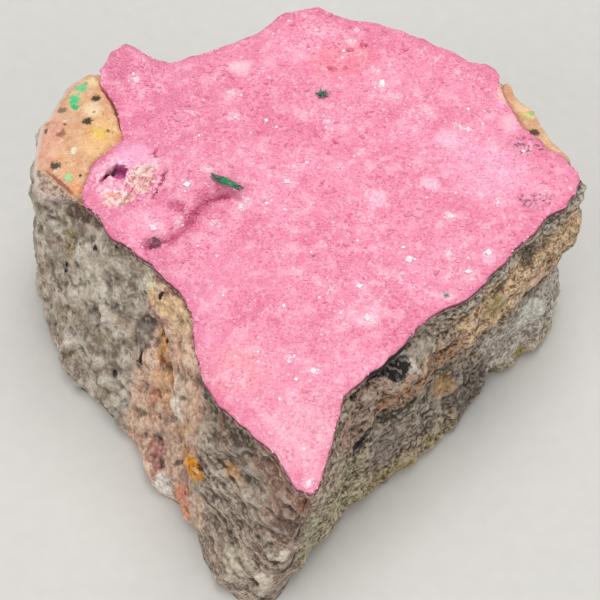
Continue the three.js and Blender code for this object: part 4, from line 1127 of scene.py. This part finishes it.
# Sizes are in millimetres: the least of each kind, and a random share of the rest.
source = np.random.default_rng(17)
x, y = scattered(16200, source, 0.1)
sizes = 0.22 + 0.16 * source.random(len(x))
fine_druse = grown("fine_druse", x, y, sizes, 0.4, 0.27, source)
x, y = scattered(16200, source, 0.2)
sizes = 0.28 + 0.3 * source.random(len(x)) ** 2.2
druse = grown("druse", x, y, sizes, 0.43, 0.24, source)
x, y = scattered(450, source, 0.8)
sizes = 0.6 + 0.5 * source.random(len(x)) ** 2.5
large_druse = grown("large_druse", x, y, sizes, 0.4, 0.4, source)

# The white ones, their white a painted glint: the glints, three small ones beside each, and a
# hundred anywhere.
x, y = scattered(100, source, 1.5)
beside = np.repeat(glints, 3, axis=0) + source.normal(0.0, 0.55, (3 * len(glints), 2))
x = np.concatenate([glints[:, 0], beside[:, 0], x])
y = np.concatenate([glints[:, 1], beside[:, 1], y])
sizes = 0.28 + 0.26 * source.random(len(x))
sizes[:len(glints)] = 0.62 + 0.42 * source.random(len(glints))
painted_glint_blocks = grown("painted_glint_blocks", x, y, sizes, 0.22, 2.0, source)

druse_finish = Finish("Druse", IOR=1.6)
colour = pink_of(druse_finish, (druse_finish.noise(2.0, 3.0) - 0.5) * 1.6)
each = druse_finish.number("tone")
colour = druse_finish.mix(druse_finish.step(each, 0.5, 1.0) * 0.14, colour, tone(254, 208, 222))
colour = druse_finish.mix(druse_finish.step(each, 0.4, 0.0) * 0.1, colour, tone(226, 112, 150))
# Painted highlight: blocks near a glint are paler, a halo round it.
colour = druse_finish.mix(druse_finish.number("painted_glint_halo") * 0.6, colour, tone(250, 214, 224))
colour = marked(druse_finish, colour)
druse_finish.set(Base_Color=colour)
druse_finish.set(Roughness=0.22 + druse_finish.step(each, 0.9, 0.3) * 0.3)
druse_finish.set(Normal=druse_finish.bump(druse_finish.noise(0.15, 2.0), 0.00002))

# The white crystals' finish: glossy for real, but with a white colour that is a painted glint.
painted_glint_finish = Finish("Calcite with painted glints", IOR=1.6, Subsurface_Weight=0.2,
                Subsurface_Radius=(1.0, 0.7, 0.75), Subsurface_Scale=0.0015)
cloud = painted_glint_finish.noise(0.8, 2.0)
painted_glint_white = painted_glint_finish.mix(painted_glint_finish.step(cloud, 0.4, 0.7), tone(244, 224, 232), tone(246, 196, 214))
painted_glint_finish.set(Base_Color=painted_glint_finish.mix(painted_glint_finish.step(painted_glint_finish.number("tone"), 0.35, 0.9) * 0.7, painted_glint_white,
                                 tone(236, 168, 192)))
painted_glint_finish.set(Roughness=0.12 + cloud * 0.15)
painted_glint_finish.set(Normal=painted_glint_finish.bump(painted_glint_finish.noise(0.25, 2.0), 0.00002))
for piece, finish in ((fine_druse, druse_finish), (druse, druse_finish),
                      (large_druse, druse_finish), (painted_glint_blocks, painted_glint_finish)):
    piece.data.materials.append(finish.material)
    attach(piece, "root")

# ---------------------------------------------------------------------------------------------
# Malachite. Dark green needles, each a long six-sided prism that tapers to its tip. Some sixty lie
# side by side in one spray, and two tufts stand up, each from a small patch of crust.

spray_root, spray_tip = np.array([-14.7, 12.7]), np.array([-9.0, 9.2])


def needles(name, starts, ends, radii, tones):
    """Six-sided prisms from start to end: rings round the line between them, wide at a third of the
    way and nearly a point at the tip."""
    line = ends - starts
    ahead = line / np.linalg.norm(line, axis=1, keepdims=True)
    side = np.cross(ahead, [0.31, 0.17, 0.93])
    side /= np.linalg.norm(side, axis=1, keepdims=True)
    other = np.cross(ahead, side)
    shares, widths = np.array([0.0, 0.3, 0.8, 1.0]), np.array([0.7, 1.0, 0.75, 0.15])
    around = np.arange(6) * np.pi / 3
    rings = (starts[:, None, None] + shares[:, None, None] * line[:, None, None]
             + (radii[:, None] * widths)[..., None, None]
             * (np.cos(around)[:, None] * side[:, None, None] + np.sin(around)[:, None]
                * other[:, None, None]))
    count, tall = len(starts), len(shares)
    index = np.arange(count * tall * 6).reshape(count, tall, 6)
    ahead_index = np.roll(index, -1, axis=2)
    quads = np.stack([index[:, :-1], ahead_index[:, :-1], ahead_index[:, 1:], index[:, 1:]], -1)
    ends_faces = np.concatenate([index[:, 0, ::-1], index[:, -1]])
    piece = mesh_piece(name, rings.reshape(-1, 3), quads.reshape(-1, 4), ends_faces,
                       smooth_faces=False)
    mark(piece, "tone", np.repeat(tones, tall * 6))
    return piece


source = np.random.default_rng(23)
spray_count, spray_half_width = 64, 0.5
flat = (spray_tip - spray_root) / np.linalg.norm(spray_tip - spray_root)
aside = np.array([-flat[1], flat[0]])
spray_length = np.linalg.norm(spray_tip - spray_root)
lengths = source.uniform(1.9, 3.6, spray_count)
along = source.uniform(0.0, 1.0, spray_count) * (spray_length - lengths)
middle_share = (along + lengths / 2) / spray_length
belly = spray_half_width * np.sqrt(np.sin(np.pi * np.clip(middle_share, 0.08, 0.92)))
over = source.uniform(-1.0, 1.0, spray_count) * belly
swing = source.uniform(-0.16, 0.16, spray_count)
base_xy = spray_root + along[:, None] * flat + over[:, None] * aside
tip_xy = base_xy + lengths[:, None] * (flat + swing[:, None] * aside)
heap = (belly ** 2 - over ** 2) ** 0.5 * source.uniform(0.2, 1.0, spray_count)
spray_z = crust_top(*spray_root) + 0.3 + heap
starts = np.column_stack([base_xy, spray_z])
ends = np.column_stack([tip_xy, spray_z + source.uniform(-0.15, 0.25, spray_count)])
spray = needles("malachite_needles", starts, ends, source.uniform(0.06, 0.12, spray_count),
                source.random(spray_count))


def tuft(name, middle, reach, count, seed):
    """Needles that stand up and out from one small patch, all round and at every slope."""
    chance = np.random.default_rng(seed)
    around, rise = chance.uniform(0, 2 * np.pi, count), chance.uniform(0.15, 1.35, count)
    start = np.array([*middle, crust_top(*map(np.array, middle)) + 0.1 * reach])
    out = np.stack([np.cos(around) * np.cos(rise), np.sin(around) * np.cos(rise), np.sin(rise)], -1)
    starts = start + np.column_stack([chance.normal(0.0, 0.2 * reach, (count, 2)) * (1.3, 0.8),
                                      np.zeros(count)])
    ends = starts + out * (reach * chance.uniform(0.4, 0.75, count))[:, None]
    return needles(name, starts, ends, 0.1 * reach * chance.uniform(0.6, 1.0, count),
                   chance.random(count))


big_tuft = tuft("malachite_needle_tuft", (3.9, 30.8), 1.6, 40, 5)
small_tuft = tuft("malachite_needle_small_tuft", (22.8, -9.6), 0.8, 20, 6)

malachite = Finish("Malachite", IOR=1.65)
each = malachite.number("tone")
green = malachite.mix(each, tone(6, 38, 28), tone(30, 104, 72))
spot = malachite.spot(malachite.x, malachite.y)
wobble = malachite.noise(0.6, 2.0) - 0.5
green = malachite.painted(green, [(-11.4, 10.9, 1.7, 1.2, (0, 150, 84), 0.6),
                                  (-14.2, 12.6, 1.5, 1.2, (92, 108, 102), 0.5)], spot, wobble)
green = malachite.mix(malachite.step(malachite.noise(0.35, 2.0), 0.5, 0.75) * 0.4, green,
                      tone(150, 190, 170))
green = malachite.mix(malachite.blot(spot, (22.8, -9.6), (1.6, 1.6), wobble * 0.2, 0.8), green,
                      tone(150, 176, 168))
green = malachite.mix(malachite.blot(spot, (4.4, 31.2), (1.7, 1.5), wobble * 2.0, 0.75), green,
                      tone(132, 158, 146))
malachite.set(Base_Color=green)
malachite.set(Roughness=0.25 + each * 0.25)
malachite.set(Normal=malachite.bump(malachite.noise(0.2, 2.0, malachite.stretch((1.0, 1.0, 3.0))),
                                    0.00003))
for piece, node in ((spray, "malachite_spray"), (big_tuft, "malachite_tuft"),
                    (small_tuft, "malachite_small_tuft")):
    piece.data.materials.append(malachite.material)
    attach(piece, "root")
    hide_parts(node)

# ---------------------------------------------------------------------------------------------
# Stage. A plain pale table, soft lights behind, overhead and on both sides in front, and a camera
# that looks down on the specimen at 55 degrees.

table_reach = 1500.0
table_corners = table_reach * np.array([[-1.0, -1.0, 0.0], [1.0, -1.0, 0.0], [1.0, 1.0, 0.0],
                                        [-1.0, 1.0, 0.0]])
table = mesh_piece("table", table_corners - centring, np.array([[0, 1, 2, 3]]))
linen = Finish("Pale table")
linen.set(Base_Color=linen.mix(linen.noise(3.0, 3.0), tone(196, 194, 190), tone(204, 202, 198)))
linen.shader.inputs["Roughness"].default_value = 0.9
table.data.materials.append(linen.material)

target = (centring + (0.0, -10.5, 35.5)) * millimetre
camera_distance, lamp_distance = 0.2, 0.9


def aimed(thing, azimuth, elevation, distance):
    """Puts a light or a camera round the target, in degrees from the front, and turns it there."""
    turn, rise = math.radians(azimuth), math.radians(elevation)
    thing.location = (target[0] + distance * math.sin(turn) * math.cos(rise),
                      target[1] - distance * math.cos(turn) * math.cos(rise),
                      target[2] + distance * math.sin(rise))
    thing.rotation_euler = (math.pi / 2 - rise, 0.0, turn)
    bpy.context.scene.collection.objects.link(thing)


for name, azimuth, elevation, width, power in (
        ("key", 160.0, 64.0, 0.5, 3.7), ("overhead", -30.0, 80.0, 0.8, 3.9),
        ("left_fill", -48.0, 28.0, 0.6, 2.2), ("right_fill", 50.0, 24.0, 0.6, 1.8)):
    lamp = bpy.data.lights.new(name, "AREA")
    lamp.size, lamp.energy = width, power
    aimed(bpy.data.objects.new(name, lamp), azimuth, elevation, lamp_distance)

sky = bpy.data.worlds.new("sky")
sky.use_nodes = True
sky.node_tree.nodes["Background"].inputs[0].default_value = (1.0, 0.99, 0.97, 1.0)
sky.node_tree.nodes["Background"].inputs[1].default_value = 0.35
bpy.context.scene.world = sky

lens = bpy.data.cameras.new("camera")
lens.lens, lens.sensor_width = 77.4, 36.0
lens.clip_start, lens.clip_end = 0.01, 10.0
camera = bpy.data.objects.new("camera", lens)
aimed(camera, 0.0, 55.0, camera_distance)
bpy.context.scene.camera = camera
bpy.context.scene.view_settings.view_transform = "Standard"

bpy.context.view_layer.update()
